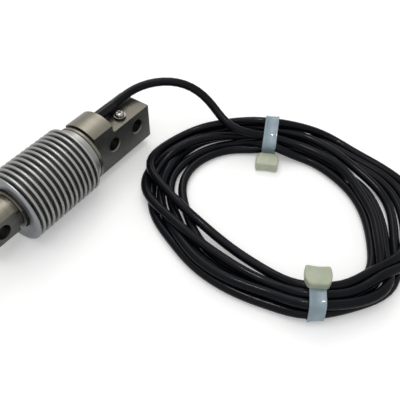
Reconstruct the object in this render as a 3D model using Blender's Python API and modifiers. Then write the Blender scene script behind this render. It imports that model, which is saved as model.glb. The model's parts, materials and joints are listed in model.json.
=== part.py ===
"""Strain gauge load cell: a bending beam sealed in steel bellows, with its cable wound in a tied coil.

Units are metres and +Z is up. The cell lies on its bellows with its axis along X: the fixed block is at +X and
the load end at -X. The origin is on the floor, below the middle of the cell.
"""

import math

import bmesh
import bpy
from mathutils import Matrix, Vector

# Fit between pieces that seat on each other
CLEARANCE = 0.0003

# Fixed block, turned from bar with two flats milled on its sides
BODY_R = 0.0178
BODY_WIDTH = 0.0216
BODY_LENGTH = 0.0467
FIXING_HOLE_D = 0.0085
FIXING_HOLE_PITCH = 0.0202
FIXING_HOLE_INSET = 0.0112
EDGE_CHAMFER = 0.0004

# Bellows
BELLOWS_R = 0.0205
CONVOLUTION_DEPTH = 0.0042
ROOT_R = BELLOWS_R - CONVOLUTION_DEPTH
BELLOWS_WALL = 0.0003
CONVOLUTIONS = 13
CONVOLUTION_PITCH = 0.00346
CREST_HALF_WIDTH = 0.00062
ROOT_HALF_WIDTH = 0.00045
CREST_ROUND = 0.0004
SKIRT_STEP = 0.0005
SKIRT_R = ROOT_R + SKIRT_STEP
SKIRT_LENGTH = 0.0039
DOME_WIDTH = 0.0044
DOME_BULGE = 0.0020
NECK_R = 0.0110
NECK_LENGTH = 0.0030

# Weld ring at the fixed end, and the spigot inside it beyond the relief groove
FIXED_RING_STEP = 0.0002
FIXED_RING_R = SKIRT_R + FIXED_RING_STEP
FIXED_RING_LENGTH = 0.0024
FIXED_REBATE_LENGTH = 0.0022
FIXED_RING_WALL = 0.0012
SPIGOT_R = SKIRT_R - BELLOWS_WALL - CLEARANCE - FIXED_RING_WALL
SPIGOT_LENGTH = 0.0050
GROOVE_WIDTH = 0.0011

# Weld ring and relief groove at the load end
LOAD_RING_R = 0.0115
LOAD_RING_LENGTH = 0.0015
LOAD_REBATE_LENGTH = 0.0020
LOAD_SPIGOT_R = 0.0096
LOAD_GROOVE_LENGTH = 0.0027

# Load stub, round with two flats
STUB_R = 0.0115
STUB_FLATS = 0.0182
STUB_LENGTH = 0.0175
LOAD_HOLE_D = 0.0085
LOAD_HOLE_INSET = 0.0080

# Bending beam inside the bellows, with a dumb-bell cut that leaves four thin flexures
BEAM_SHARE = 1.227
BEAM_HEIGHT = ROOT_R * BEAM_SHARE
BEAM_WIDTH = BEAM_HEIGHT * 0.8
BEAM_END_MARGIN = 0.0030
FLEXURE_SPACING = 0.0220
FLEXURE_BORE_R = BEAM_HEIGHT * 0.38
SLOT_HEIGHT = BEAM_HEIGHT * 0.25

# Strain gauges and the terminal board on the beam
GAUGE_SIZE = (0.0070, 0.0045, 0.0003)
BOARD_SIZE = (0.0100, 0.0090, 0.0010)
RESISTOR_R = 0.0009
RESISTOR_LENGTH = 0.0050
RESISTOR_SPACING = 0.0034
GAUGE_LEAD_R = 0.00035

# Cable entry: a stepped bore from the recess to the bellows chamber
ENTRY_Y = 0.0028
ENTRY_INSET = 0.0025
ENTRY_RISE = SPIGOT_R - ENTRY_INSET
ENTRY_WEB = 0.0062
WIRE_BORE_R = 0.0017
WIRE_BUNDLE_R = 0.0009
SEAL_LENGTH = 0.0016
CABLE_R = 0.0026
BOOT_WALL = 0.0007
BOOT_TIP_WALL = 0.0004
BOOT_LENGTH = 0.0160
BOOT_TIP_LENGTH = 0.0040

# Recess along the top of the block, where the cable leaves: its floor carries the boot
RECESS_SHARE = 0.6745
RECESS_LENGTH = BODY_LENGTH * RECESS_SHARE
BOOT_R = CABLE_R + CLEARANCE + BOOT_WALL
RECESS_RISE = ENTRY_RISE - BOOT_R
RECESS_FOOT_R = 0.0018
ENTRY_BORE_DEPTH = BODY_LENGTH - RECESS_LENGTH - ENTRY_WEB

# Screw, washer and sealing ring on the recess floor
SCREW_X_INSET = 0.0180
SCREW_Y = -0.0042
SCREW_R = 0.0015
SCREW_LENGTH = 0.0050
HEAD_R = 0.0028
HEAD_HEIGHT = 0.0019
CROSS_WIDTH = 0.0008
CROSS_LENGTH = 0.0032
CROSS_DEPTH = 0.0009
WASHER_R = 0.0036
WASHER_THICKNESS = 0.0006
SEAL_RING_R = 0.0034
SEAL_RING_THICKNESS = 0.0010

# Coil of cable: inner radius, outer radius, height and lean of the top outward in millimetres, at even angles
# from -X towards -Y and on
COIL_CENTRE = Vector((0.061, -0.105, 0.0))
COIL_STATIONS = (
    (44, 70, 10.4, 0),
    (50, 75, 10.4, -1),
    (59, 79, 11.8, -3),
    (60, 80, 10.4, -2),
    (51, 79, 10.4, 0),
    (47, 76, 10.4, 0),
    (40, 73, 10.4, 0),
    (38, 70, 10.4, 0),
    (39, 69, 11.4, 1),
    (41, 66, 14.5, 3),
    (41, 66, 15.8, 3),
    (48, 74, 12.0, 0),
    (50, 80, 10.4, 0),
    (53, 82, 10.4, 0),
    (50, 76, 10.4, 0),
    (43, 70, 10.4, 0),
)
STATION_UNIT = 0.001
COIL_FLOOR_GAP = 0.0002
COIL_STEPS = 56
COIL_SECTION_STEPS = 10

# Ties round the coil
TIE_FAR_ANGLE = math.radians(37.0)
TIE_NEAR_ANGLE = math.radians(-137.5)
TIE_FAR_TURN = math.radians(-11.7)
TIE_NEAR_TURN = math.radians(-4.5)
TIE_LIFT_ANGLE = math.radians(24.0)
TIE_STEADY_ANGLE = math.radians(6.0)
TIE_SIDE_GAP = 0.0005
FREE_FULLNESS = 0.70
TIED_FULLNESS = 0.95
TIE_WIDTH = 0.0086
TIE_THICKNESS = 0.0013
TIE_HEAD_LENGTH = 0.0115
TIE_HEAD_WIDTH = 0.0145
TIE_HEAD_THICKNESS = 0.0070
TIE_HEAD_ROUND = 0.0014
TIE_NOTCH_WIDTH = 0.0075
TIE_NOTCH_DEPTH = 0.0012
TIE_BITE = 0.0010

# Cable routes outside the coil, as points on the cable's centre line
LEAD_ROUTE = (
    (0.0240, 0.0028, 0.0330),
    (0.0300, 0.0028, 0.0330),
    (0.0380, 0.0028, 0.0330),
    (0.0460, 0.0028, 0.0330),
    (0.0540, 0.0030, 0.0331),
    (0.0620, 0.0027, 0.0334),
    (0.0684, 0.0003, 0.0340),
    (0.0731, -0.0029, 0.0344),
    (0.0800, -0.0088, 0.0344),
    (0.0858, -0.0168, 0.0331),
    (0.0895, -0.0256, 0.0299),
    (0.0902, -0.0355, 0.0248),
    (0.0880, -0.0470, 0.0192),
    (0.0864, -0.0585, 0.0162),
)
LEAD_MOUTH = (0.02966, 0.0330)
TAIL_ROUTE = (
    (0.1102, -0.1645, 0.0028),
    (0.1034, -0.1697, 0.0028),
    (0.0950, -0.1750, 0.0028),
    (0.0860, -0.1806, 0.0028),
    (0.0765, -0.1856, 0.0028),
    (0.0670, -0.1900, 0.0028),
    (0.0575, -0.1940, 0.0028),
)
TUBE_SPACING = 0.0110

# Bare cores at the cable's end
CORE_R = 0.00065
CORE_LENGTH = 0.0240
CORE_SPREAD = 0.0032
CORE_COLOURS = {
    "core_red": (0.55, 0.03, 0.03),
    "core_black": (0.02, 0.02, 0.02),
    "core_green": (0.03, 0.30, 0.08),
    "core_white": (0.80, 0.80, 0.78),
}

ROUND_STEPS = 40
BELLOWS_STEPS = 28
SMALL_STEPS = 20

# Places along the axis, worked out from the fixed end to the load end
BELLOWS_SPAN = (CONVOLUTIONS - 1) * CONVOLUTION_PITCH
COLLAR_LENGTH = GROOVE_WIDTH + FIXED_RING_LENGTH + SKIRT_LENGTH
FIRST_CREST_OFFSET = COLLAR_LENGTH + CONVOLUTION_PITCH / 2
CELL_LENGTH = (
    BODY_LENGTH
    + FIRST_CREST_OFFSET
    + BELLOWS_SPAN
    + DOME_WIDTH
    + LOAD_RING_LENGTH / 4
    + LOAD_GROOVE_LENGTH
    + STUB_LENGTH
)
FIXED_END_X = CELL_LENGTH / 2
BODY_END_X = FIXED_END_X - BODY_LENGTH
RING_X = BODY_END_X - GROOVE_WIDTH
SKIRT_X = RING_X - FIXED_RING_LENGTH
FIRST_CREST_X = BODY_END_X - FIRST_CREST_OFFSET
LAST_CREST_X = FIRST_CREST_X - BELLOWS_SPAN
DOME_END_X = LAST_CREST_X - DOME_WIDTH
LOAD_RING_X = DOME_END_X - LOAD_RING_LENGTH / 4
STUB_X = LOAD_RING_X - LOAD_GROOVE_LENGTH
LOAD_END_X = -FIXED_END_X
NECK_X = LOAD_RING_X + LOAD_RING_LENGTH
AXIS_Z = BELLOWS_R
STEP_X = FIXED_END_X - RECESS_LENGTH
FLOOR_Z = AXIS_Z + RECESS_RISE
ENTRY_Z = AXIS_Z + ENTRY_RISE
ENTRY_END_X = STEP_X - ENTRY_BORE_DEPTH
BEAM_START_X = BODY_END_X - GROOVE_WIDTH - SPIGOT_LENGTH
BEAM_END_X = NECK_X + LOAD_REBATE_LENGTH + BEAM_END_MARGIN
BEAM_MIDDLE_X = (BEAM_START_X + BEAM_END_X) / 2
BEAM_TOP_Z = AXIS_Z + BEAM_HEIGHT / 2
ENTRY_BORE_R = BOOT_R + CLEARANCE
OVERCUT = 0.004


def clear_scene():
    for obj in list(bpy.data.objects):
        bpy.data.objects.remove(obj, do_unlink=True)


def new_collection(name):
    collection = bpy.data.collections.new(name)
    bpy.context.scene.collection.children.link(collection)
    return collection


def material(name, colour, metallic, roughness, alpha=1.0):
    made = bpy.data.materials.new(name)
    made.use_nodes = True
    shader = made.node_tree.nodes["Principled BSDF"]
    shader.inputs["Base Color"].default_value = (*colour, 1.0)
    shader.inputs["Metallic"].default_value = metallic
    shader.inputs["Roughness"].default_value = roughness
    shader.inputs["Alpha"].default_value = alpha
    return made


def add_object(name, data, look, collection=None):
    obj = bpy.data.objects.new(name, data)
    (collection or PARTS).objects.link(obj)
    if look is not None:
        data.materials.append(look)
    return obj


def as_cutter(obj):
    obj.hide_render = True
    obj.display_type = "WIRE"
    return obj


def box_mesh(name, size, centre):
    mesh = bpy.data.meshes.new(name)
    bm = bmesh.new()
    bmesh.ops.create_cube(bm, size=1.0)
    bmesh.ops.scale(bm, vec=Vector(size), verts=bm.verts)
    bmesh.ops.translate(bm, vec=Vector(centre), verts=bm.verts)
    bm.to_mesh(mesh)
    bm.free()
    return mesh


def cylinder_mesh(name, radius, length, centre, axis, steps):
    """A cylinder along X, Y or Z."""
    mesh = bpy.data.meshes.new(name)
    bm = bmesh.new()
    bmesh.ops.create_cone(
        bm, cap_ends=True, segments=steps, radius1=radius, radius2=radius, depth=length
    )
    turn = {"X": Matrix.Rotation(math.pi / 2, 4, "Y"), "Y": Matrix.Rotation(math.pi / 2, 4, "X")}
    bmesh.ops.transform(bm, matrix=turn.get(axis, Matrix.Identity(4)), verts=bm.verts)
    bmesh.ops.translate(bm, vec=Vector(centre), verts=bm.verts)
    bm.to_mesh(mesh)
    bm.free()
    return mesh


def box_cutter(name, size, centre):
    return as_cutter(add_object(name, box_mesh(name, size, centre), None, CUTTERS))


def hole_cutter(name, radius, length, centre, axis, steps=SMALL_STEPS):
    mesh = cylinder_mesh(name, radius, length, centre, axis, steps)
    return as_cutter(add_object(name, mesh, None, CUTTERS))


def boolean(obj, cutter, operation="DIFFERENCE"):
    modifier = obj.modifiers.new(cutter.name, "BOOLEAN")
    modifier.operation = operation
    modifier.solver = "EXACT"
    modifier.object = cutter
    return modifier


def profile_mesh(name, points, closed):
    """A profile in the plane of the axis: each point is a place along X and a radius."""
    mesh = bpy.data.meshes.new(name)
    vertices = [(x, 0.0, radius) for x, radius in points]
    edges = [(i, i + 1) for i in range(len(points) - 1)]
    if closed:
        edges.append((len(points) - 1, 0))
    mesh.from_pydata(vertices, edges, [])
    return mesh


def turned(name, points, look, steps, closed=True, axis_point=(0.0, 0.0, AXIS_Z)):
    """A piece turned about an axis along X: a closed profile, or an open one that ends on the axis."""
    obj = add_object(name, profile_mesh(name, points, closed), look)
    obj.location = axis_point
    screw = obj.modifiers.new("turn", "SCREW")
    screw.axis = "X"
    screw.steps = steps
    screw.render_steps = steps
    screw.use_merge_vertices = True
    screw.merge_threshold = 0.00001
    return obj


def smooth(obj, angle=math.radians(35)):
    obj.data.shade_smooth()
    obj.data.set_sharp_from_angle(angle=angle)


def smooth_route(points, spacing):
    """Points read at even spacing from a smooth curve through the route's own points."""
    knots = [Vector(p) for p in points]
    ends = [2 * knots[0] - knots[1]] + knots + [2 * knots[-1] - knots[-2]]
    fine = []
    for a, b, c, d in zip(ends, ends[1:], ends[2:], ends[3:]):
        for step in range(12):
            t = step / 12
            fine.append(
                0.5
                * (
                    2 * b
                    + (c - a) * t
                    + (2 * a - 5 * b + 4 * c - d) * t**2
                    + (3 * b - a - 3 * c + d) * t**3
                )
            )
    fine.append(knots[-1])
    total = sum((q - p).length for p, q in zip(fine, fine[1:]))
    count = max(2, round(total / spacing))
    wanted = [total * i / count for i in range(count + 1)]
    route, walked, at = [], 0.0, 0
    for target in wanted[:-1]:
        while walked + (fine[at + 1] - fine[at]).length < target:
            walked += (fine[at + 1] - fine[at]).length
            at += 1
        span = (fine[at + 1] - fine[at]).length
        route.append(fine[at].lerp(fine[at + 1], (target - walked) / span))
    return route + [fine[-1]]


def tube(name, points, radius, look, resolution=2, cyclic=False):
    curve = bpy.data.curves.new(name, "CURVE")
    curve.dimensions = "3D"
    curve.bevel_depth = radius
    curve.bevel_resolution = resolution
    curve.use_fill_caps = not cyclic
    spline = curve.splines.new("POLY")
    spline.points.add(len(points) - 1)
    for point, place in zip(spline.points, points):
        point.co = (*place, 1.0)
    spline.use_cyclic_u = cyclic
    return add_object(name, curve, look)


def beam_profile():
    """The bar as it is turned, from the fixed end to the load end."""
    end = FIXED_END_X
    inner_r = math.hypot(BEAM_WIDTH, BEAM_HEIGHT) / 2 + CLEARANCE
    return [
        (end, 0.0),
        (end, BODY_R - EDGE_CHAMFER),
        (end - EDGE_CHAMFER, BODY_R),
        (BODY_END_X + EDGE_CHAMFER, BODY_R),
        (BODY_END_X, BODY_R - EDGE_CHAMFER),
        (BODY_END_X, SPIGOT_R),
        (BEAM_START_X, SPIGOT_R),
        (BEAM_START_X, inner_r),
        (BEAM_END_X, inner_r),
        (BEAM_END_X, LOAD_SPIGOT_R),
        (STUB_X, LOAD_SPIGOT_R),
        (STUB_X, STUB_R - EDGE_CHAMFER),
        (STUB_X - EDGE_CHAMFER, STUB_R),
        (LOAD_END_X + EDGE_CHAMFER, STUB_R),
        (LOAD_END_X, STUB_R - EDGE_CHAMFER),
        (LOAD_END_X, 0.0),
    ]


def side_flats(prefix, start_x, end_x, width, height, radius):
    """Cutters that leave a width across Y and, where height is given, a height across Z."""
    length = start_x - end_x
    middle = (start_x + end_x) / 2
    deep = radius
    for side in (-1, 1):
        yield box_cutter(
            f"{prefix}_side_{'near' if side < 0 else 'far'}",
            (length, deep, 4 * radius),
            (middle, side * (width / 2 + deep / 2), AXIS_Z),
        )
        if height:
            yield box_cutter(
                f"{prefix}_{'bottom' if side < 0 else 'top'}",
                (length, 4 * radius, deep),
                (middle, 0.0, AXIS_Z + side * (height / 2 + deep / 2)),
            )


def recess_cutter():
    """The cable recess: a flat floor that meets the step in a milled round."""
    name = "cut_recess"
    curve = bpy.data.curves.new(name, "CURVE")
    curve.dimensions = "2D"
    curve.fill_mode = "BOTH"
    curve.extrude = BODY_R * 1.5
    top = BODY_R * 1.5
    outline = [(FIXED_END_X + OVERCUT, top), (FIXED_END_X + OVERCUT, RECESS_RISE)]
    for step in range(5):
        angle = math.pi / 2 * step / 4
        outline.append(
            (
                STEP_X + RECESS_FOOT_R * (1 - math.sin(angle)),
                RECESS_RISE + RECESS_FOOT_R * (1 - math.cos(angle)),
            )
        )
    outline.append((STEP_X, top))
    spline = curve.splines.new("POLY")
    spline.points.add(len(outline) - 1)
    for point, (x, z) in zip(spline.points, outline):
        point.co = (x, z, 0.0, 1.0)
    spline.use_cyclic_u = True
    flat = bpy.data.objects.new(name, curve)
    CUTTERS.objects.link(flat)
    flat.rotation_euler = (math.pi / 2, 0.0, 0.0)
    flat.location = (0.0, 0.0, AXIS_Z)
    return mesh_from_curve(flat, None, CUTTERS)


def mesh_from_curve(obj, look, collection):
    """The curve's solid as a mesh object in the same place, with its caps joined on."""
    bpy.context.view_layer.update()
    graph = bpy.context.evaluated_depsgraph_get()
    mesh = bpy.data.meshes.new_from_object(obj.evaluated_get(graph))
    mesh.transform(obj.matrix_world)
    bm = bmesh.new()
    bm.from_mesh(mesh)
    bmesh.ops.remove_doubles(bm, verts=bm.verts, dist=0.000001)
    bmesh.ops.recalc_face_normals(bm, faces=bm.faces)
    bm.to_mesh(mesh)
    bm.free()
    mesh.materials.clear()
    name = obj.name
    bpy.data.objects.remove(obj, do_unlink=True)
    made = add_object(name, mesh, look, collection)
    if collection is CUTTERS:
        as_cutter(made)
    return made


def dumb_bell_cutter():
    """Two bores joined by a slot, right through the beam from side to side."""
    long = BEAM_WIDTH + 2 * OVERCUT
    slot = box_cutter(
        "cut_flexure_slot", (FLEXURE_SPACING, long, SLOT_HEIGHT), (BEAM_MIDDLE_X, 0.0, AXIS_Z)
    )
    for side, word in ((-1, "load"), (1, "fixed")):
        place = (BEAM_MIDDLE_X + side * FLEXURE_SPACING / 2, 0.0, AXIS_Z)
        bore = hole_cutter(f"cut_flexure_bore_{word}", FLEXURE_BORE_R, long, place, "Y", 24)
        boolean(slot, bore, "UNION")
    return slot


def entry_cutter():
    """The stepped bore for the cable and its cores."""
    deep = STEP_X - ENTRY_END_X
    wide = hole_cutter(
        "cut_entry",
        ENTRY_BORE_R,
        deep + OVERCUT,
        (ENTRY_END_X + (deep + OVERCUT) / 2, ENTRY_Y, ENTRY_Z),
        "X",
    )
    long = STEP_X - BEAM_START_X + OVERCUT
    narrow = hole_cutter(
        "cut_wire_bore",
        WIRE_BORE_R,
        long,
        (STEP_X - long / 2, ENTRY_Y, ENTRY_Z),
        "X",
        12,
    )
    boolean(wide, narrow, "UNION")
    return wide


def make_beam_body():
    """Fixed block, bending beam and load stub, machined as one piece."""
    body = turned("beam_body", beam_profile(), STEEL, ROUND_STEPS, closed=False)
    for cutter in side_flats(
        "cut_block", FIXED_END_X + OVERCUT, BODY_END_X - GROOVE_WIDTH / 2, BODY_WIDTH, 0, BODY_R
    ):
        boolean(body, cutter)
    for cutter in side_flats(
        "cut_beam", BEAM_START_X, BEAM_END_X, BEAM_WIDTH, BEAM_HEIGHT, BODY_R
    ):
        boolean(body, cutter)
    for cutter in side_flats(
        "cut_stub", STUB_X + LOAD_GROOVE_LENGTH / 4, LOAD_END_X - OVERCUT, STUB_FLATS, 0, STUB_R
    ):
        boolean(body, cutter)
    boolean(body, recess_cutter())
    for index in range(2):
        x = FIXED_END_X - FIXING_HOLE_INSET - index * FIXING_HOLE_PITCH
        long = BODY_WIDTH + 2 * OVERCUT
        name = f"cut_fixing_hole_{index + 1}"
        boolean(body, hole_cutter(name, FIXING_HOLE_D / 2, long, (x, 0.0, AXIS_Z), "Y", 28))
    boolean(
        body,
        hole_cutter(
            "cut_load_hole",
            LOAD_HOLE_D / 2,
            STUB_FLATS + 2 * OVERCUT,
            (LOAD_END_X + LOAD_HOLE_INSET, 0.0, AXIS_Z),
            "Y",
            28,
        ),
    )
    boolean(body, entry_cutter())
    deep = SCREW_LENGTH + CLEARANCE
    boolean(
        body,
        hole_cutter(
            "cut_screw_hole",
            SCREW_R + CLEARANCE,
            deep + OVERCUT,
            (FIXED_END_X - SCREW_X_INSET, SCREW_Y, FLOOR_Z + (OVERCUT - deep) / 2),
            "Z",
            16,
        ),
    )
    boolean(body, dumb_bell_cutter())
    return body


def bellows_profile():
    """The outer line of the bellows, from its skirt at the fixed end to its neck at the load end."""
    points = [(SKIRT_X, SKIRT_R), (SKIRT_X - SKIRT_LENGTH + ROOT_HALF_WIDTH, SKIRT_R)]
    for index in range(CONVOLUTIONS):
        crest = FIRST_CREST_X - index * CONVOLUTION_PITCH
        points.append((crest + CREST_HALF_WIDTH, BELLOWS_R - CREST_ROUND))
        points.append((crest, BELLOWS_R))
        points.append((crest - CREST_HALF_WIDTH, BELLOWS_R - CREST_ROUND))
        root = crest - CONVOLUTION_PITCH / 2
        if index < CONVOLUTIONS - 1:
            points.append((root + ROOT_HALF_WIDTH, ROOT_R))
            points.append((root - ROOT_HALF_WIDTH, ROOT_R))
    return points + dome_profile()


def dome_profile():
    """The wide end convolution, which bulges round the neck."""
    root = LAST_CREST_X - CONVOLUTION_PITCH / 2
    middle = (DOME_END_X + root) / 2
    half = (root - DOME_END_X) / 2
    depth = BELLOWS_R - NECK_R
    return [
        (root + ROOT_HALF_WIDTH / 2, BELLOWS_R - depth * 0.30),
        (middle + half * 0.75, BELLOWS_R - depth * 0.05),
        (middle, BELLOWS_R),
        (middle - half * 0.7, BELLOWS_R - depth * 0.07),
        (DOME_END_X, BELLOWS_R - depth * 0.24),
        (DOME_END_X + DOME_BULGE * 0.3, BELLOWS_R - depth * 0.52),
        (NECK_X + NECK_LENGTH - DOME_BULGE * 0.4, BELLOWS_R - depth * 0.86),
        (NECK_X + NECK_LENGTH, NECK_R),
        (NECK_X, NECK_R),
    ]


def make_bellows():
    bellows = turned("bellows", bellows_profile(), BELLOWS_STEEL, BELLOWS_STEPS, closed=False)
    shell = bellows.modifiers.new("wall", "SOLIDIFY")
    shell.thickness = BELLOWS_WALL
    shell.offset = -1.0
    shell.use_even_offset = False
    return bellows


def make_rings():
    inner = SPIGOT_R + CLEARANCE
    rebate = SKIRT_R - BELLOWS_WALL - CLEARANCE
    shoulder = SKIRT_X + CLEARANCE
    turned(
        "fixed_end_ring",
        [
            (RING_X, inner),
            (RING_X, FIXED_RING_R - EDGE_CHAMFER),
            (RING_X - EDGE_CHAMFER, FIXED_RING_R),
            (shoulder, FIXED_RING_R),
            (shoulder, rebate),
            (SKIRT_X - FIXED_REBATE_LENGTH, rebate),
            (SKIRT_X - FIXED_REBATE_LENGTH, inner),
        ],
        STEEL,
        ROUND_STEPS,
    )
    inner = LOAD_SPIGOT_R + CLEARANCE
    rebate = NECK_R - BELLOWS_WALL - CLEARANCE
    shoulder = NECK_X - CLEARANCE
    turned(
        "load_end_ring",
        [
            (NECK_X + LOAD_REBATE_LENGTH, inner),
            (NECK_X + LOAD_REBATE_LENGTH, rebate),
            (shoulder, rebate),
            (shoulder, LOAD_RING_R),
            (LOAD_RING_X + EDGE_CHAMFER, LOAD_RING_R),
            (LOAD_RING_X, LOAD_RING_R - EDGE_CHAMFER),
            (LOAD_RING_X, inner),
        ],
        STEEL,
        ROUND_STEPS,
    )


def make_gauges():
    """One gauge over each of the beam's four thin flexures."""
    length, width, thickness = GAUGE_SIZE
    rise = BEAM_HEIGHT / 2 + CLEARANCE + thickness / 2
    spots = [(x_side, z_side) for z_side in (1, -1) for x_side in (1, -1)]
    for number, (x_side, z_side) in enumerate(spots, start=1):
        place = (BEAM_MIDDLE_X + x_side * FLEXURE_SPACING / 2, 0.0, AXIS_Z + z_side * rise)
        name = f"strain_gauge_{number}"
        add_object(name, box_mesh(name, GAUGE_SIZE, place), GAUGE_FOIL)
        make_gauge_lead(number, x_side, z_side)


def make_gauge_lead(number, x_side, z_side):
    """The fine lead from a gauge to the terminal board on top of the beam."""
    gauge_end = BEAM_MIDDLE_X + x_side * (FLEXURE_SPACING / 2 - GAUGE_SIZE[0] / 2 - 2 * GAUGE_LEAD_R)
    board_end = BEAM_MIDDLE_X + x_side * (BOARD_SIZE[0] / 2 + GAUGE_LEAD_R + CLEARANCE)
    lift = CLEARANCE + GAUGE_LEAD_R
    top = BEAM_TOP_Z + lift
    if z_side > 0:
        route = [(gauge_end, 0.0, top), ((gauge_end + board_end) / 2, 0.0, top), (board_end, 0.0, top)]
    else:
        bottom = AXIS_Z - BEAM_HEIGHT / 2 - lift
        side_y = BEAM_WIDTH / 2 + lift
        route = [
            (gauge_end, 0.0, bottom),
            (gauge_end, side_y * 0.8, bottom),
            (gauge_end, side_y, bottom + lift),
            (gauge_end, side_y, AXIS_Z),
            (board_end, side_y, top - lift),
            (board_end, side_y * 0.8, top),
            (board_end, BOARD_SIZE[1] / 2, top),
        ]
    tube(f"gauge_lead_{number}", [Vector(p) for p in route], GAUGE_LEAD_R, ENAMEL, 1)


def make_terminal_board():
    """Terminal board between the upper gauges, with its two trimming resistors."""
    middle_z = BEAM_TOP_Z + CLEARANCE + BOARD_SIZE[2] / 2
    add_object(
        "terminal_board",
        box_mesh("terminal_board", BOARD_SIZE, (BEAM_MIDDLE_X, 0.0, middle_z)),
        BOARD,
    )
    for side, number in ((-1, 1), (1, 2)):
        name = f"trim_resistor_{number}"
        place = (
            BEAM_MIDDLE_X,
            side * RESISTOR_SPACING / 2,
            middle_z + BOARD_SIZE[2] / 2 + CLEARANCE + RESISTOR_R,
        )
        mesh = cylinder_mesh(name, RESISTOR_R, RESISTOR_LENGTH, place, "X", 12)
        smooth(add_object(name, mesh, RESISTOR))


def make_entry():
    """Seal, core bundle and boot where the cable goes into the block."""
    axis = (0.0, ENTRY_Y, ENTRY_Z)
    seal_x = ENTRY_END_X + CLEARANCE
    turned(
        "cable_seal",
        [
            (seal_x + SEAL_LENGTH, WIRE_BUNDLE_R + CLEARANCE),
            (seal_x + SEAL_LENGTH, ENTRY_BORE_R - CLEARANCE),
            (seal_x, ENTRY_BORE_R - CLEARANCE),
            (seal_x, WIRE_BUNDLE_R + CLEARANCE),
        ],
        SEAL_RUBBER,
        SMALL_STEPS,
        axis_point=axis,
    )
    cable_start = lead_route()[0].x
    board_x = BEAM_MIDDLE_X + BOARD_SIZE[0] / 2 + WIRE_BUNDLE_R + CLEARANCE
    board_z = BEAM_TOP_Z + CLEARANCE + WIRE_BUNDLE_R
    gauge_clear = board_z + GAUGE_SIZE[2] + 2 * CLEARANCE
    chamber_x = BEAM_START_X - 2 * WIRE_BUNDLE_R
    tube(
        "core_bundle",
        [
            Vector((cable_start - CLEARANCE, ENTRY_Y, ENTRY_Z)),
            Vector((BODY_END_X, ENTRY_Y, ENTRY_Z)),
            Vector((chamber_x, ENTRY_Y, ENTRY_Z)),
            Vector(((chamber_x + board_x) / 2, ENTRY_Y, gauge_clear)),
            Vector((board_x, ENTRY_Y, gauge_clear)),
        ],
        WIRE_BUNDLE_R,
        CORE_SHEATH,
        2,
    )
    inner = CABLE_R + CLEARANCE
    tip = STEP_X + BOOT_LENGTH
    boot_start = seal_x + SEAL_LENGTH + CLEARANCE
    turned(
        "cable_boot",
        [
            (tip, inner),
            (tip, inner + BOOT_TIP_WALL),
            (tip - BOOT_TIP_LENGTH, BOOT_R),
            (boot_start, BOOT_R),
            (boot_start, inner),
        ],
        BOOT,
        SMALL_STEPS,
        axis_point=axis,
    )


def make_screw():
    """Pan head screw with its washer and sealing ring on the recess floor."""
    x = FIXED_END_X - SCREW_X_INSET
    base = FLOOR_Z + CLEARANCE
    hole = SCREW_R + CLEARANCE
    washer_z = base + SEAL_RING_THICKNESS + CLEARANCE
    head_z = washer_z + WASHER_THICKNESS + CLEARANCE
    upright("sealing_ring", flat_ring(hole, SEAL_RING_R, SEAL_RING_THICKNESS), SEAL_RUBBER, x, base)
    upright("plain_washer", flat_ring(hole, WASHER_R, WASHER_THICKNESS), BRIGHT_STEEL, x, washer_z)
    top = HEAD_HEIGHT
    screw = upright(
        "recess_screw",
        [
            (top, 0.0),
            (top, HEAD_R * 0.55),
            (top * 0.86, HEAD_R * 0.82),
            (top * 0.55, HEAD_R * 0.97),
            (0.0, HEAD_R),
            (0.0, SCREW_R),
            (FLOOR_Z - SCREW_LENGTH - head_z, SCREW_R),
            (FLOOR_Z - SCREW_LENGTH - head_z, 0.0),
        ],
        BRIGHT_STEEL,
        x,
        head_z,
        closed=False,
    )
    deep = 2 * CROSS_DEPTH
    for turn, word in ((0, "along"), (1, "across")):
        size = (CROSS_LENGTH, CROSS_WIDTH, deep) if turn else (CROSS_WIDTH, CROSS_LENGTH, deep)
        cutter = box_cutter(f"cut_cross_{word}", size, (x, SCREW_Y, head_z + top))
        boolean(screw, cutter)


def flat_ring(inner, outer, thickness):
    return [(thickness, inner), (thickness, outer), (0.0, outer), (0.0, inner)]


def upright(name, points, look, x, z, closed=True):
    """A small piece turned about a vertical axis over the screw hole: points are heights and radii."""
    mesh = bpy.data.meshes.new(name)
    edges = [(i, i + 1) for i in range(len(points) - 1)]
    if closed:
        edges.append((len(points) - 1, 0))
    mesh.from_pydata([(radius, 0.0, height) for height, radius in points], edges, [])
    obj = add_object(name, mesh, look)
    obj.location = (x, SCREW_Y, z)
    screw = obj.modifiers.new("turn", "SCREW")
    screw.steps = SMALL_STEPS
    screw.render_steps = SMALL_STEPS
    screw.use_merge_vertices = True
    screw.merge_threshold = 0.00001
    return obj


def from_tie(angle):
    """The nearer tie's angle, and how far round the coil an angle is from it."""
    found = []
    for tie in (TIE_FAR_ANGLE, TIE_NEAR_ANGLE):
        away = (angle - tie + math.pi) % (2 * math.pi) - math.pi
        found.append((abs(away), tie, away))
    return min(found)[1:]


def station(angle, column):
    """One of the coil's station values at an angle, smooth between the stations; heights are steady under a tie."""
    tie, away = from_tie(angle)
    if column > 1 and abs(away) < 2 * TIE_STEADY_ANGLE:
        angle = tie + math.copysign(max(0.0, abs(away) - TIE_STEADY_ANGLE) * 2, away)
    count = len(COIL_STATIONS)
    place = (angle / (2 * math.pi) * count + count / 2) % count
    low = int(place)
    t = place - low
    a, b, c, d = (COIL_STATIONS[(low + k) % count][column] for k in (-1, 0, 1, 2))
    value = 2 * b + (c - a) * t + (2 * a - 5 * b + 4 * c - d) * t**2 + (3 * b - a - 3 * c + d) * t**3
    return 0.5 * value * STATION_UNIT


def coil_middle(angle):
    radius = (station(angle, 0) + station(angle, 1)) / 2
    return COIL_CENTRE + Vector((math.cos(angle), math.sin(angle), 0.0)) * radius


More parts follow.
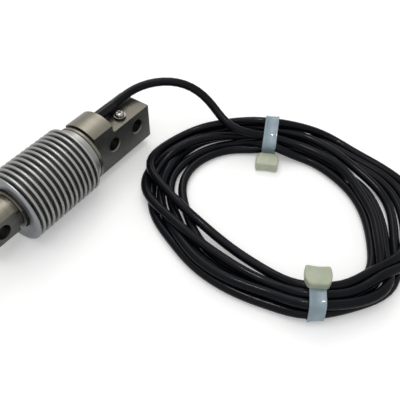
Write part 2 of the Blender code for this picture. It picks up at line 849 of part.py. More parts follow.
def coil_frame(angle):
    """Axes across the coil: X outward and level, Y along the cable and Z up, from the floor below its middle."""
    step = math.radians(4)
    along = (coil_middle(angle + step) - coil_middle(angle - step)).normalized()
    turn = math.atan2(-along.x, along.y)
    return Matrix.Translation(coil_middle(angle)) @ Matrix.Rotation(turn, 4, "Z")


def coil_half_width(angle):
    """Half the coil's width, measured square to the cable."""
    radial = Vector((math.cos(angle), math.sin(angle), 0.0))
    across = coil_frame(angle).col[0].to_3d()
    return (station(angle, 1) - station(angle, 0)) / 2 * radial.dot(across)


def tie_lift(angle):
    """How far the coil is held off the floor by the strap under it, near a tie."""
    lift = TIE_THICKNESS + CLEARANCE
    tie, away = from_tie(angle)
    away = max(0.0, abs(away) - TIE_STEADY_ANGLE)
    if away >= TIE_LIFT_ANGLE:
        return 0.0
    return lift * (0.5 + 0.5 * math.cos(math.pi * away / TIE_LIFT_ANGLE))


def fullness(angle):
    """How square-sided the bundle is: full where it lies free, drawn rounder by a tie."""
    tie, away = from_tie(angle)
    share = min(1.0, max(0.0, abs(away) - TIE_STEADY_ANGLE) / TIE_LIFT_ANGLE)
    return TIED_FULLNESS + (FREE_FULLNESS - TIED_FULLNESS) * share


def bundle_outline(angle, side_gap=0.0, level_gap=0.0):
    """Points round the flat bundle that the strands make, with a gap all round if a strap is to go there."""
    half = coil_half_width(angle) + side_gap
    if side_gap:
        reach = TIE_WIDTH / 2 / station(angle, 0)
        half = max(half, *(coil_half_width(angle + side * reach) + side_gap for side in (-1, 1)))
    height = station(angle, 2)
    lean = station(angle, 3)
    low = COIL_FLOOR_GAP + tie_lift(angle)
    power = fullness(angle)
    points = []
    for turn in range(COIL_SECTION_STEPS):
        around = 2 * math.pi * (turn + 0.5) / COIL_SECTION_STEPS
        wide = math.copysign(abs(math.cos(around)) ** power, math.cos(around))
        high = math.copysign(abs(math.sin(around)) ** power, math.sin(around))
        points.append(
            (half * wide + lean * high, low + height / 2 + (height / 2 + level_gap) * high)
        )
    return points


def make_coil():
    """The outer shape of the wound cable: a flat bundle's section swept round the coil's stations."""
    mesh = bpy.data.meshes.new("cable_coil")
    bm = bmesh.new()
    rows = []
    for step in range(COIL_STEPS):
        angle = 2 * math.pi * step / COIL_STEPS
        frame = coil_frame(angle)
        rows.append(
            [bm.verts.new(frame @ Vector((wide, 0.0, high))) for wide, high in bundle_outline(angle)]
        )
    for row, following in zip(rows, rows[1:] + rows[:1]):
        for turn in range(COIL_SECTION_STEPS):
            after = (turn + 1) % COIL_SECTION_STEPS
            bm.faces.new((row[turn], row[after], following[after], following[turn]))
    bmesh.ops.recalc_face_normals(bm, faces=bm.faces)
    bm.to_mesh(mesh)
    bm.free()
    smooth(add_object("cable_coil", mesh, CABLE))


def make_tie(name, angle, turn, head_on_top):
    """A strap round the coil with its locking head, moulded as one piece."""
    square = coil_frame(angle)
    frame = square @ Matrix.Rotation(turn, 4, "Z")
    reach = square.col[1].to_3d() * TIE_WIDTH / 2 / math.cos(turn)
    inner = bundle_outline(angle, TIE_SIDE_GAP, CLEARANCE)
    outer = bundle_outline(angle, TIE_SIDE_GAP + TIE_THICKNESS, CLEARANCE + TIE_THICKNESS)
    mesh = bpy.data.meshes.new(name)
    bm = bmesh.new()
    loops = []
    for outline, side in ((inner, -1), (outer, -1), (outer, 1), (inner, 1)):
        loops.append(
            [
                bm.verts.new(frame @ Vector((x, 0.0, max(z, COIL_FLOOR_GAP))) + reach * side)
                for x, z in outline
            ]
        )
    for loop, following in zip(loops, loops[1:] + loops[:1]):
        for step in range(COIL_SECTION_STEPS):
            after = (step + 1) % COIL_SECTION_STEPS
            bm.faces.new((loop[step], loop[after], following[after], following[step]))
    bmesh.ops.recalc_face_normals(bm, faces=bm.faces)
    bm.to_mesh(mesh)
    bm.free()
    strap = add_object(name, mesh, TIE_NYLON)
    high = max(z for x, z in outer)
    left = min(x for x, z in outer)
    if head_on_top:
        x = left + TIE_THICKNESS + TIE_HEAD_LENGTH / 2
        z = high - TIE_BITE + TIE_HEAD_THICKNESS / 2
    else:
        x = left + TIE_BITE - TIE_HEAD_LENGTH / 2
        z = COIL_FLOOR_GAP + TIE_HEAD_THICKNESS / 2
    head = make_tie_head(f"{name}_head")
    head.matrix_world = frame @ Matrix.Translation((x, 0.0, z))
    boolean(strap, head, "UNION")
    return strap


def make_tie_head(name):
    """The locking head: a rounded block with a notch across its free end, cut down to the strap's shoulders."""
    size = (TIE_HEAD_LENGTH, TIE_HEAD_WIDTH, TIE_HEAD_THICKNESS)
    head = as_cutter(add_object(name, box_mesh(name, size, (0, 0, 0)), None, CUTTERS))
    edges = head.modifiers.new("rounded", "BEVEL")
    edges.width = TIE_HEAD_ROUND
    edges.segments = 2
    notch = box_cutter(
        f"{name}_notch",
        (2 * TIE_NOTCH_DEPTH, TIE_NOTCH_WIDTH, 2 * TIE_HEAD_THICKNESS),
        (-TIE_HEAD_LENGTH / 2, 0.0, 0.0),
    )
    notch.parent = head
    boolean(head, notch)
    return head


def lead_route():
    """The lead's own points, with its start kept in the boot and its end on the coil."""
    drift = Vector((STEP_X - LEAD_MOUTH[0], 0.0, ENTRY_Z - LEAD_MOUTH[1]))
    last = len(LEAD_ROUTE) - 1
    points = []
    for index, place in enumerate(LEAD_ROUTE):
        share = min(1.0, max(0.0, (index - 3) / (last - 3)))
        points.append(Vector(place) + drift * (1 - share))
    return points


def make_cable():
    """Lead from the boot to the coil, and the tail from the coil to the bare cores."""
    tube("cable_lead", smooth_route(lead_route(), TUBE_SPACING / 2), CABLE_R, CABLE, 2)
    tube("cable_tail", smooth_route(TAIL_ROUTE, TUBE_SPACING), CABLE_R, CABLE, 2)
    make_cores()


def make_cores():
    """The four cores where the jacket is stripped, fanned out a little."""
    end = Vector(TAIL_ROUTE[-1])
    along = (end - Vector(TAIL_ROUTE[-2])).normalized()
    aside = Vector((-along.y, along.x, 0.0))
    count = len(CORE_COLOURS)
    for index, (name, colour) in enumerate(CORE_COLOURS.items()):
        side = (index - (count - 1) / 2) / ((count - 1) / 2)
        start = end + along * CLEARANCE + aside * side * (CABLE_R - CORE_R) * 0.9
        start.z = end.z + (0.0006 if index % 2 else -0.0006)
        points = []
        for step in range(6):
            t = step / 5
            bend = t * t * (3 - 2 * t)
            place = start + along * CORE_LENGTH * t + aside * side * CORE_SPREAD * bend
            place.z = start.z + (CORE_R * 1.2 - start.z) * bend
            points.append(place)
        tube(name, points, CORE_R, material(name, colour, 0.0, 0.45), 1)


clear_scene()
PARTS = new_collection("strain_gauge_load_cell")
CUTTERS = new_collection("cutters")
STEEL = material("steel", (0.50, 0.48, 0.44), 1.0, 0.38)
BELLOWS_STEEL = material("bellows_steel", (0.60, 0.60, 0.58), 1.0, 0.28)
BRIGHT_STEEL = material("bright_steel", (0.70, 0.70, 0.68), 1.0, 0.22)
GAUGE_FOIL = material("gauge_foil", (0.72, 0.45, 0.20), 0.0, 0.45)
BOARD = material("board", (0.05, 0.25, 0.10), 0.0, 0.50)
RESISTOR = material("resistor", (0.10, 0.28, 0.45), 0.0, 0.40)
ENAMEL = material("enamel", (0.50, 0.16, 0.05), 0.0, 0.35)
CORE_SHEATH = material("core_sheath", (0.75, 0.73, 0.68), 0.0, 0.50)
SEAL_RUBBER = material("seal_rubber", (0.03, 0.03, 0.03), 0.0, 0.60)
BOOT = material("boot", (0.02, 0.02, 0.025), 0.0, 0.40)
CABLE = material("cable", (0.02, 0.02, 0.025), 0.0, 0.35)
TIE_NYLON = material("tie_nylon", (0.78, 0.86, 0.84), 0.0, 0.35)

make_beam_body()
make_bellows()
make_rings()
make_gauges()
make_terminal_board()
make_entry()
make_screw()
make_coil()
make_tie("cable_tie_far", TIE_FAR_ANGLE, TIE_FAR_TURN, head_on_top=False)
make_tie("cable_tie_near", TIE_NEAR_ANGLE, TIE_NEAR_TURN, head_on_top=True)
make_cable()
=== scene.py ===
# Looks of the strain gauge load cell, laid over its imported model. Metres, +Z up, floor at z = 0.
import json
import math

import bmesh
import bpy
import numpy as np
from mathutils import Matrix, Vector

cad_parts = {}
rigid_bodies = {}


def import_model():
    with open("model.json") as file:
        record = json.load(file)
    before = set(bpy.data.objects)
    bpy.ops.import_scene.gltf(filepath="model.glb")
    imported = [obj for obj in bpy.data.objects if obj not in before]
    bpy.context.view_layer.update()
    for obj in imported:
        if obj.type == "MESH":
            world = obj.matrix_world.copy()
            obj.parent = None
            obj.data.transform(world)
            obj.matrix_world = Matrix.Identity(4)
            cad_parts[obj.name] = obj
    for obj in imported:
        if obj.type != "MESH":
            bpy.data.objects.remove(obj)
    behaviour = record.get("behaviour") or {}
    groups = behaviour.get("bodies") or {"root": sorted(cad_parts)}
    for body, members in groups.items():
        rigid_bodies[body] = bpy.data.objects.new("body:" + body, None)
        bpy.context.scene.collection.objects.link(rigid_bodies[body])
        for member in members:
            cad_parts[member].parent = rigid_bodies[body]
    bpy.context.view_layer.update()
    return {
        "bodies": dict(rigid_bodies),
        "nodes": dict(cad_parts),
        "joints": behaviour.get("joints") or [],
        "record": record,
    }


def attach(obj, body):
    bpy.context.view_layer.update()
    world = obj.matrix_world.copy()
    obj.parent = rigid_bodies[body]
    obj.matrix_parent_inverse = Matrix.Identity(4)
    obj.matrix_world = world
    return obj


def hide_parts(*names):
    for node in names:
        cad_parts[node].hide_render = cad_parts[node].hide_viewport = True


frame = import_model()

# Camera, at the photograph's viewing angle
CAMERA_PLACE = Vector((-0.1501, -0.1987, 0.2455))
CAMERA_YAW = math.radians(35.285)
CAMERA_PITCH = math.radians(46.837)
CAMERA_LENS = 52.33

# Cable
CABLE_D = 0.0052
CABLE_R = CABLE_D / 2
TUBE_ROUNDNESS = 6
POINT_SPACING = 0.0045
FLOOR_GAP = 0.0002
COIL_CENTRE = Vector((0.061, -0.105, 0.0))
FAR_TIE = 37.0
NEAR_TIE = -136.2
FAR_TIE_AZIMUTH = 25.3
NEAR_TIE_AZIMUTH = 209.6

# How the cable settles: rounds, the shares moved in each, and how many points along itself it may touch
SMOOTHING = (0.5, -0.53) * 30
SETTLE_ROUNDS = 160
PUSH_SHARE = 0.45
BEND_SHARE = 0.30
RETURN_SHARE = 0.03
STRANDS_APART = 12
LEAD_HELD = 14
LEAD_BLEND = 12

# Cell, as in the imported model
FIXED_END_X = 0.06116
BODY_R = 0.0178
BODY_WIDTH = 0.0216
BODY_LENGTH = 0.0467
FIXING_HOLE_D = 0.0085
FIXING_HOLE_PITCH = 0.0202
FIXING_HOLE_INSET = 0.0112
EDGE_BREAK = 0.0003
HOLE_CHAMFER = 0.0005
RECESS_LENGTH = 0.0315
RECESS_RISE = 0.0089
RECESS_FOOT_R = 0.0018
GROOVE_WIDTH = 0.0011
SPIGOT_R = 0.0150
SPIGOT_LENGTH = 0.0050
FIXED_RING_R = 0.0170
FIXED_RING_LENGTH = 0.0024
FIXED_REBATE_LENGTH = 0.0022
BELLOWS_R = 0.0205
ROOT_R = 0.0163
BELLOWS_WALL = 0.0003
CONVOLUTIONS = 13
CONVOLUTION_PITCH = 0.00346
CREST_ROUND = 0.00090
ROOT_ROUND = 0.00080
SKIRT_R = 0.0168
SKIRT_LENGTH = 0.0039
DOME_WIDTH = 0.0044
NECK_R = 0.0110
NECK_LENGTH = 0.0030
LOAD_RING_R = 0.0115
LOAD_RING_LENGTH = 0.0015
LOAD_REBATE_LENGTH = 0.0020
LOAD_SPIGOT_R = 0.0096
LOAD_GROOVE_LENGTH = 0.0027
STUB_R = 0.0115
STUB_FLATS = 0.0182
LOAD_HOLE_D = 0.0085
LOAD_HOLE_INSET = 0.0080
BEAM_WIDTH = 0.0160
BEAM_HEIGHT = 0.0200
ENTRY_Y = 0.0028
ENTRY_RISE = 0.0125
ENTRY_BORE_DEPTH = 0.0090
BOOT_R = 0.0036
BOOT_SLEEVE_R = 0.0033
BOOT_TIP_R = 0.0031
BOOT_LENGTH = 0.0160
BOOT_TIP_LENGTH = 0.0040
SCREW_X_INSET = 0.0183
SCREW_Y = -0.0044
SCREW_R = 0.0015
SCREW_LENGTH = 0.0050
HEAD_R = 0.0028
HEAD_HEIGHT = 0.0019
CROSS_SPAN = 0.0032
CROSS_WIDTH = 0.0008
CROSS_DEPTH = 0.0018
WASHER_R = 0.0036
WASHER_THICKNESS = 0.0006
SEAL_RING_R = 0.0034
SEAL_RING_THICKNESS = 0.0010
CLEARANCE = 0.0003
OVERCUT = 0.004

# Ties
TIE_WIDTH = 0.0082
TIE_THICKNESS = 0.0012
TIE_GAP = 0.00005
FAR_HEAD = (0.0112, 0.0140, 0.0060)
NEAR_HEAD = (0.0112, 0.0134, 0.0052)
NEAR_HEAD_OVERHANG = 0.0042
FAR_HEAD_BITE = -0.0004
HEAD_ROUND = 0.0020
TIE_LIFT_ANGLE = 24.0
SECTION_ROUNDS = 4
HULL_STEPS = 48
STRAP_ROWS = 96
STRAP_LOWEST = 0.0015

# Bare cores at the cable's end
CORE_R = 0.00065
CORE_LENGTH = 0.0240
CORE_SPREAD = 0.0032
CORE_BARE = 0.0060
CORE_TUCK = 0.0020
CORE_STEPS = 24

# Places along the axis
BODY_END_X = FIXED_END_X - BODY_LENGTH
RING_X = BODY_END_X - GROOVE_WIDTH
SKIRT_X = RING_X - FIXED_RING_LENGTH
FIRST_CREST_X = SKIRT_X - SKIRT_LENGTH - CONVOLUTION_PITCH / 2
LAST_CREST_X = FIRST_CREST_X - (CONVOLUTIONS - 1) * CONVOLUTION_PITCH
DOME_START_X = LAST_CREST_X - CONVOLUTION_PITCH / 2
DOME_END_X = LAST_CREST_X - DOME_WIDTH
LOAD_RING_X = DOME_END_X - LOAD_RING_LENGTH / 4
NECK_X = LOAD_RING_X + LOAD_RING_LENGTH
STUB_X = LOAD_RING_X - LOAD_GROOVE_LENGTH
LOAD_END_X = -FIXED_END_X
AXIS_Z = BELLOWS_R
STEP_X = FIXED_END_X - RECESS_LENGTH
FLOOR_Z = AXIS_Z + RECESS_RISE
ENTRY_Z = AXIS_Z + ENTRY_RISE
ENTRY_END_X = STEP_X - ENTRY_BORE_DEPTH
BEAM_START_X = RING_X - SPIGOT_LENGTH
BEAM_END_X = NECK_X + LOAD_REBATE_LENGTH + 0.003


def make_camera():
    data = bpy.data.cameras.new("camera")
    data.lens = CAMERA_LENS
    data.clip_start = 0.01
    camera = bpy.data.objects.new("camera", data)
    bpy.context.scene.collection.objects.link(camera)
    camera.location = CAMERA_PLACE
    ahead = Vector((
        math.cos(CAMERA_PITCH) * math.cos(CAMERA_YAW),
        math.cos(CAMERA_PITCH) * math.sin(CAMERA_YAW),
        -math.sin(CAMERA_PITCH),
    ))
    camera.rotation_euler = ahead.to_track_quat("-Z", "Y").to_euler()
    bpy.context.scene.camera = camera


make_camera()

# Cable route before the coil: straight out of the boot, over in an arch and down on the coil
LEAD = (
    (0.0380, 0.0028, 0.0330),
    (0.0460, 0.0028, 0.0330),
    (0.0540, 0.0030, 0.0331),
    (0.0620, 0.0027, 0.0334),
    (0.0684, 0.0003, 0.0340),
    (0.0731, -0.0029, 0.0344),
    (0.0800, -0.0088, 0.0344),
    (0.0858, -0.0168, 0.0331),
    (0.0895, -0.0256, 0.0299),
    (0.0902, -0.0355, 0.0248),
    (0.0880, -0.0470, 0.0192),
    (0.0864, -0.0585, 0.0162),
)

# Tail, just past the view's right edge
TAIL = (
    (0.1102, -0.1645, 0.0028),
    (0.1034, -0.1697, 0.0028),
    (0.0950, -0.1750, 0.0028),
    (0.0860, -0.1806, 0.0028),
    (0.0765, -0.1856, 0.0028),
    (0.0670, -0.1900, 0.0028),
    (0.0575, -0.1940, 0.0028),
)

# Strands of the coil, as seen from the camera, in millimetres: at each angle, how far from the centre
# a strand seems to lie on a level 5 mm over the floor, and how high its middle really is
SEEN_LEVEL = 5.0
RIGHT_SIDE = {
    # angle: for each strand the seen radius and the height
    37: ((46.2, 9.0), (43.4, 4.4), (50.8, 9.6), (60.2, 9.4), (51.2, 4.4), (56.4, 4.4), (68.4, 14.4)),
    30: ((40.8, 7.0), (44.6, 4.2), (50.6, 9.4), (59.8, 9.4), (51.2, 4.2), (56.4, 4.2), (67.2, 14.2)),
    15: ((38.2, 3.4), (43.3, 3.2), (47.4, 8.3), (57.6, 8.2), (50.5, 3.2), (57.2, 3.2), (65.5, 9.0)),
    0: ((37.2, 2.8), (42.4, 2.8), (46.2, 7.9), (54.6, 7.6), (50.2, 2.8), (57.6, 2.8), (63.8, 3.6)),
    -15: ((37.3, 2.8), (42.4, 2.8), (46.2, 7.7), (53.6, 7.4), (52.0, 2.8), (57.2, 2.8), (62.4, 2.8)),
    -30: ((38.2, 2.8), (44.6, 2.8), (46.2, 7.6), (53.4, 6.4), (56.6, 2.8), (61.4, 2.8), (66.6, 2.8)),
    -45: ((41.0, 2.8), (49.2, 2.8), (45.2, 6.4), (57.0, 4.6), (62.4, 2.8), (68.0, 2.8), (73.5, 2.8)),
    -60: ((44.5, 2.8), (52.4, 2.8), (48.4, 6.2), (60.2, 2.8), (66.2, 2.8), (71.6, 2.8), (79.0, 2.8)),
    -75: ((49.2, 2.8), (57.0, 2.8), (53.1, 6.2), (62.8, 2.8), (69.2, 3.4), (74.5, 2.8), (84.0, 2.8)),
    -90: ((55.9, 2.8), (63.4, 2.8), (59.5, 6.2), (67.8, 3.4), (71.4, 8.6), (76.5, 5.0), (88.0, 2.8)),
    -105: ((65.6, 2.8), (76.0, 7.6), (70.6, 3.6), (77.0, 2.8), (65.6, 9.0), (70.9, 8.8), (90.0, 2.8)),
    -120: ((66.8, 2.8), (75.6, 8.0), (72.0, 2.8), (77.1, 2.8), (64.9, 8.4), (70.2, 8.2), (90.0, 2.8)),
}
LEFT_SIDE = {
    -139: ((59.6, 11.2), (65.6, 5.8), (70.8, 5.4), (64.8, 12.2), (70.4, 11.4), (76.0, 5.0)),
    -150: ((54.9, 6.4), (61.6, 2.8), (67.2, 2.8), (60.9, 7.6), (65.6, 8.0), (72.8, 2.8)),
    -165: ((49.2, 5.2), (58.0, 2.8), (63.8, 2.8), (56.6, 7.6), (63.3, 7.8), (69.6, 2.8)),
    -180: ((46.2, 5.0), (56.0, 2.8), (61.6, 2.8), (54.2, 7.4), (63.0, 7.4), (68.0, 2.8)),
    -195: ((45.8, 5.2), (55.2, 2.8), (60.9, 2.8), (54.7, 7.6), (63.2, 7.2), (67.3, 2.8)),
    -210: ((47.7, 6.2), (53.9, 2.8), (59.4, 2.8), (58.4, 8.6), (63.2, 6.1), (67.5, 2.8)),
    -225: ((53.5, 8.2), (53.6, 2.8), (60.3, 2.8), (65.8, 8.0), (66.0, 2.8), (71.4, 2.8)),
    -240: ((64.0, 8.6), (55.7, 2.8), (62.8, 2.8), (76.8, 6.4), (68.0, 3.2), (73.2, 3.0)),
    -255: ((80.2, 7.8), (56.7, 2.8), (64.0, 2.8), (78.4, 2.8), (68.6, 6.6), (73.4, 2.8)),
    -270: ((79.6, 4.4), (55.1, 2.8), (60.4, 2.8), (74.4, 2.8), (67.2, 2.8), (71.6, 7.4)),
    -285: ((76.4, 5.0), (51.5, 2.8), (56.4, 2.8), (70.4, 2.8), (65.2, 2.8), (66.6, 7.6)),
    -300: ((73.0, 9.6), (47.1, 3.2), (52.0, 3.2), (67.5, 5.0), (60.2, 3.4), (60.0, 7.6)),
    -315: ((70.2, 14.0), (42.9, 4.2), (49.2, 7.6), (64.6, 9.6), (57.9, 4.2), (52.5, 4.2)),
}
# Which strand each pass of the cable takes, first on the right side and then on the left
RIGHT_ORDER = (2, 0, 1, 5, 3, 4, 6)
LEFT_ORDER = (2, 1, 4, 3, 5, 0)
LAST_ANGLE = -52.0


def seen_point(angle, radius, height):
    """The point at a height in millimetres that the camera sees at a radius on the level SEEN_LEVEL."""
    a = math.radians(angle)
    level = COIL_CENTRE + Vector((math.cos(a), math.sin(a), 0.0)) * radius / 1000
    level.z = SEEN_LEVEL / 1000
    share = (CAMERA_PLACE.z - height / 1000) / (CAMERA_PLACE.z - level.z)
    return CAMERA_PLACE + (level - CAMERA_PLACE) * share


def coil_knots():
    """The cable's way round the coil: pass by pass, clockwise seen from above."""
    knots = []
    for turn, lane in enumerate(RIGHT_ORDER):
        last_turn = turn == len(RIGHT_ORDER) - 1
        for angle, strands in RIGHT_SIDE.items():
            if last_turn and angle < LAST_ANGLE:
                return knots
            knots.append(seen_point(angle, *strands[lane]))
        for angle, strands in LEFT_SIDE.items():
            knots.append(seen_point(angle, *strands[LEFT_ORDER[turn]]))
    return knots


def smooth_curve(knots, fine=12):
    """Closely spaced points of a smooth curve through the knots."""
    ends = [2 * knots[0] - knots[1]] + knots + [2 * knots[-1] - knots[-2]]
    points = []
    for a, b, c, d in zip(ends, ends[1:], ends[2:], ends[3:]):
        for step in range(fine):
            t = step / fine
            points.append(
                0.5
                * (
                    2 * b
                    + (c - a) * t
                    + (2 * a - 5 * b + 4 * c - d) * t**2
                    + (3 * b - a - 3 * c + d) * t**3
                )
            )
    points.append(knots[-1])
    return points


def evenly(points, spacing):
    """The same line with its points at even spacing."""
    place = np.array([tuple(p) for p in points])
    walked = np.concatenate([[0.0], np.cumsum(np.linalg.norm(np.diff(place, axis=0), axis=1))])
    wanted = np.linspace(0.0, walked[-1], round(walked[-1] / spacing) + 1)
    return np.stack([np.interp(wanted, walked, place[:, axis]) for axis in range(3)], axis=1)


def lowest_middle(line):
    """How low the cable's middle may lie: on the floor, or on a tie's strap under it."""
    away_x = line[:, 0] - COIL_CENTRE.x
    away_y = line[:, 1] - COIL_CENTRE.y
    angle = np.degrees(np.arctan2(away_y, away_x))
    lift = np.zeros(len(line))
    for tie in (FAR_TIE, NEAR_TIE):
        away = np.minimum(np.abs((angle - tie + 180) % 360 - 180) / TIE_LIFT_ANGLE, 1.0)
        lift = np.maximum(lift, (TIE_THICKNESS + FLOOR_GAP) * (0.5 + 0.5 * np.cos(np.pi * away)))
    return CABLE_R + FLOOR_GAP + lift


def settle(line):
    """Pushes strands that lie in each other apart and lets the cable rest on the floor and on itself."""
    for weight in SMOOTHING:
        line[1:-1] += weight * ((line[:-2] + line[2:]) / 2 - line[1:-1])
    seats = line.copy()
    count = len(line)
    index = np.arange(count)
    apart = np.abs(index[:, None] - index[None, :]) > STRANDS_APART
    for _ in range(SETTLE_ROUNDS):
        gap = line[:, None, :] - line[None, :, :]
        distance = np.linalg.norm(gap, axis=2) + 1e-9
        close = apart & (distance < CABLE_D)
        push = np.where(close, (CABLE_D - distance) / distance, 0.0)
        shift = (push[:, :, None] * gap).sum(axis=1)
        shared = np.maximum(close.sum(axis=1), 1)[:, None]
        line = line + PUSH_SHARE * shift / shared
        moved = line - seats
        line[1:-1] += BEND_SHARE * (moved[:-2] + moved[2:] - 2 * moved[1:-1])
        line += RETURN_SHARE * (seats - line)
        line[:, 2] = np.maximum(line[:, 2], lowest_middle(line))
    return line


def cable_line():
    """The whole cable's middle line, held at the boot and settled from there on."""
    lead = [Vector(p) for p in LEAD]
    tail = [Vector(p) for p in TAIL]
    rough = evenly(smooth_curve(lead + coil_knots()[1:] + tail), POINT_SPACING)
    settled = settle(rough)
    blend = np.clip((np.arange(len(rough)) - LEAD_HELD) / LEAD_BLEND, 0, 1)[:, None]
    return rough * (1 - blend) + settled * blend


def add_piece(name, data, look, *nodes):
    """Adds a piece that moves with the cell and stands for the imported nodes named."""
    obj = bpy.data.objects.new(name, data)
    bpy.context.scene.collection.objects.link(obj)
    if look is not None:
        data.materials.clear()
        data.materials.append(look)
    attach(obj, "root")
    if nodes:
        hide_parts(*nodes)
    return obj


def tube(name, points, radius, look, *nodes):
    """A round cord along the points."""
    curve = bpy.data.curves.new(name, "CURVE")
    curve.dimensions = "3D"
    curve.bevel_depth = radius
    curve.bevel_resolution = TUBE_ROUNDNESS
    curve.use_fill_caps = True
    spline = curve.splines.new("POLY")
    spline.points.add(len(points) - 1)
    for point, place in zip(spline.points, points):
        point.co = (*place, 1.0)
    spline.use_smooth = True
    return add_piece(name, curve, look, *nodes)


def mesh_of(name, bm):
    """The mesh of what was built, which is then freed."""
    mesh = bpy.data.meshes.new(name)
    bm.to_mesh(mesh)
    bm.free()
    return mesh


def loose(name, mesh):
    """An object that isn't a piece of the cell: a cutter, or the floor."""
    obj = bpy.data.objects.new(name, mesh)
    bpy.context.scene.collection.objects.link(obj)
    return obj


def shade(colour, share):
    """A colour made darker or lighter."""
    return tuple(min(1.0, part * share) for part in colour)


class Nodes:
    """Short calls for building one material's node tree."""

    def __init__(self, name):
        self.material = bpy.data.materials.new(name)
        self.material.use_nodes = True
        self.tree = self.material.node_tree
        self.shader = self.tree.nodes["Principled BSDF"]
        self.place = self.add("ShaderNodeTexCoord").outputs["Object"]

    def add(self, kind, **settings):
        node = self.tree.nodes.new(kind)
        for key, value in settings.items():
            setattr(node, key, value)
        return node

    def link(self, source, target):
        self.tree.links.new(source, target)

    def set(self, name, value):
        self.shader.inputs[name].default_value = value

    def scaled(self, scale, source=None):
        """Coordinates stretched by a scale on each axis."""
        node = self.add("ShaderNodeVectorMath", operation="MULTIPLY")
        self.link(source or self.place, node.inputs[0])
        node.inputs[1].default_value = scale
        return node.outputs[0]

    def noise(self, scale, detail=3.0, source=None):
        node = self.add("ShaderNodeTexNoise")
        self.link(self.scaled(scale, source), node.inputs["Vector"])
        node.inputs["Scale"].default_value = 1.0
        node.inputs["Detail"].default_value = detail
        node.inputs["Roughness"].default_value = 0.55
        return node.outputs["Fac"]

    def span(self, source, low, high, to_low=0.0, to_high=1.0):
        node = self.add("ShaderNodeMapRange")
        self.link(source, node.inputs["Value"])
        for key, value in (
            ("From Min", low),
            ("From Max", high),
            ("To Min", to_low),
            ("To Max", to_high),
        ):
            node.inputs[key].default_value = value
        return node.outputs["Result"]

    def math(self, operation, a, b):
        node = self.add("ShaderNodeMath", operation=operation)
        for socket, value in zip(node.inputs, (a, b)):
            if isinstance(value, (int, float)):
                socket.default_value = value
            else:
                self.link(value, socket)
        return node.outputs[0]

    def mix(self, share, low, high):
        """A colour between two others, each a colour or a socket."""
        node = self.add("ShaderNodeMix", data_type="RGBA")
        self.link(share, node.inputs["Factor"])
        for socket, value in ((node.inputs[6], low), (node.inputs[7], high)):
            if isinstance(value, tuple):
                socket.default_value = (*value, 1.0)
            else:
                self.link(value, socket)
        return node.outputs[2]

    def grey(self, value):
        """A number as a colour, for mixing."""
        return self.mix(value, (0.0, 0.0, 0.0), (1.0, 1.0, 1.0))

    def bump(self, height, distance, strength=1.0):
        node = self.add("ShaderNodeBump")
        node.inputs["Distance"].default_value = distance
        node.inputs["Strength"].default_value = strength
        self.link(height, node.inputs["Height"])
        if self.shader.inputs["Normal"].is_linked:
            self.link(self.shader.inputs["Normal"].links[0].from_socket, node.inputs["Normal"])
        self.link(node.outputs[0], self.shader.inputs["Normal"])

    def axis_space(self):
        """Coordinates round the cell's axis: along it, and out from it."""
        parts = self.add("ShaderNodeSeparateXYZ")
        self.link(self.place, parts.inputs[0])
        up = self.math("SUBTRACT", parts.outputs["Z"], AXIS_Z)
        across = self.math("MULTIPLY", parts.outputs["Y"], parts.outputs["Y"])
        out = self.math("POWER", self.math("ADD", across, self.math("MULTIPLY", up, up)), 0.5)
        both = self.add("ShaderNodeCombineXYZ")
        self.link(parts.outputs["X"], both.inputs["X"])
        self.link(out, both.inputs["Y"])
        return both.outputs[0], out

    def along(self):
        """Place along the cell's axis."""
        parts = self.add("ShaderNodeSeparateXYZ")
        self.link(self.place, parts.inputs[0])
        return parts.outputs["X"]

    def facing(self, axis):
        """How squarely the surface faces along one axis, either way."""
        parts = self.add("ShaderNodeSeparateXYZ")
        self.link(self.add("ShaderNodeNewGeometry").outputs["True Normal"], parts.inputs[0])
        return self.math("ABSOLUTE", parts.outputs[axis], 0.0)

    def hollow(self, distance):
        """Nought in deep corners and one in the open: the share by which shade is painted into corners.
        """
        node = self.add("ShaderNodeAmbientOcclusion", samples=8)
        node.inputs["Distance"].default_value = distance
        return node.outputs["AO"]


# How far from the recess floor, and from the axis, the floor's tone and the painted shade of the hole
# walls reach
FLOOR_BAND = 0.0006
HOLE_BAND = 0.0052


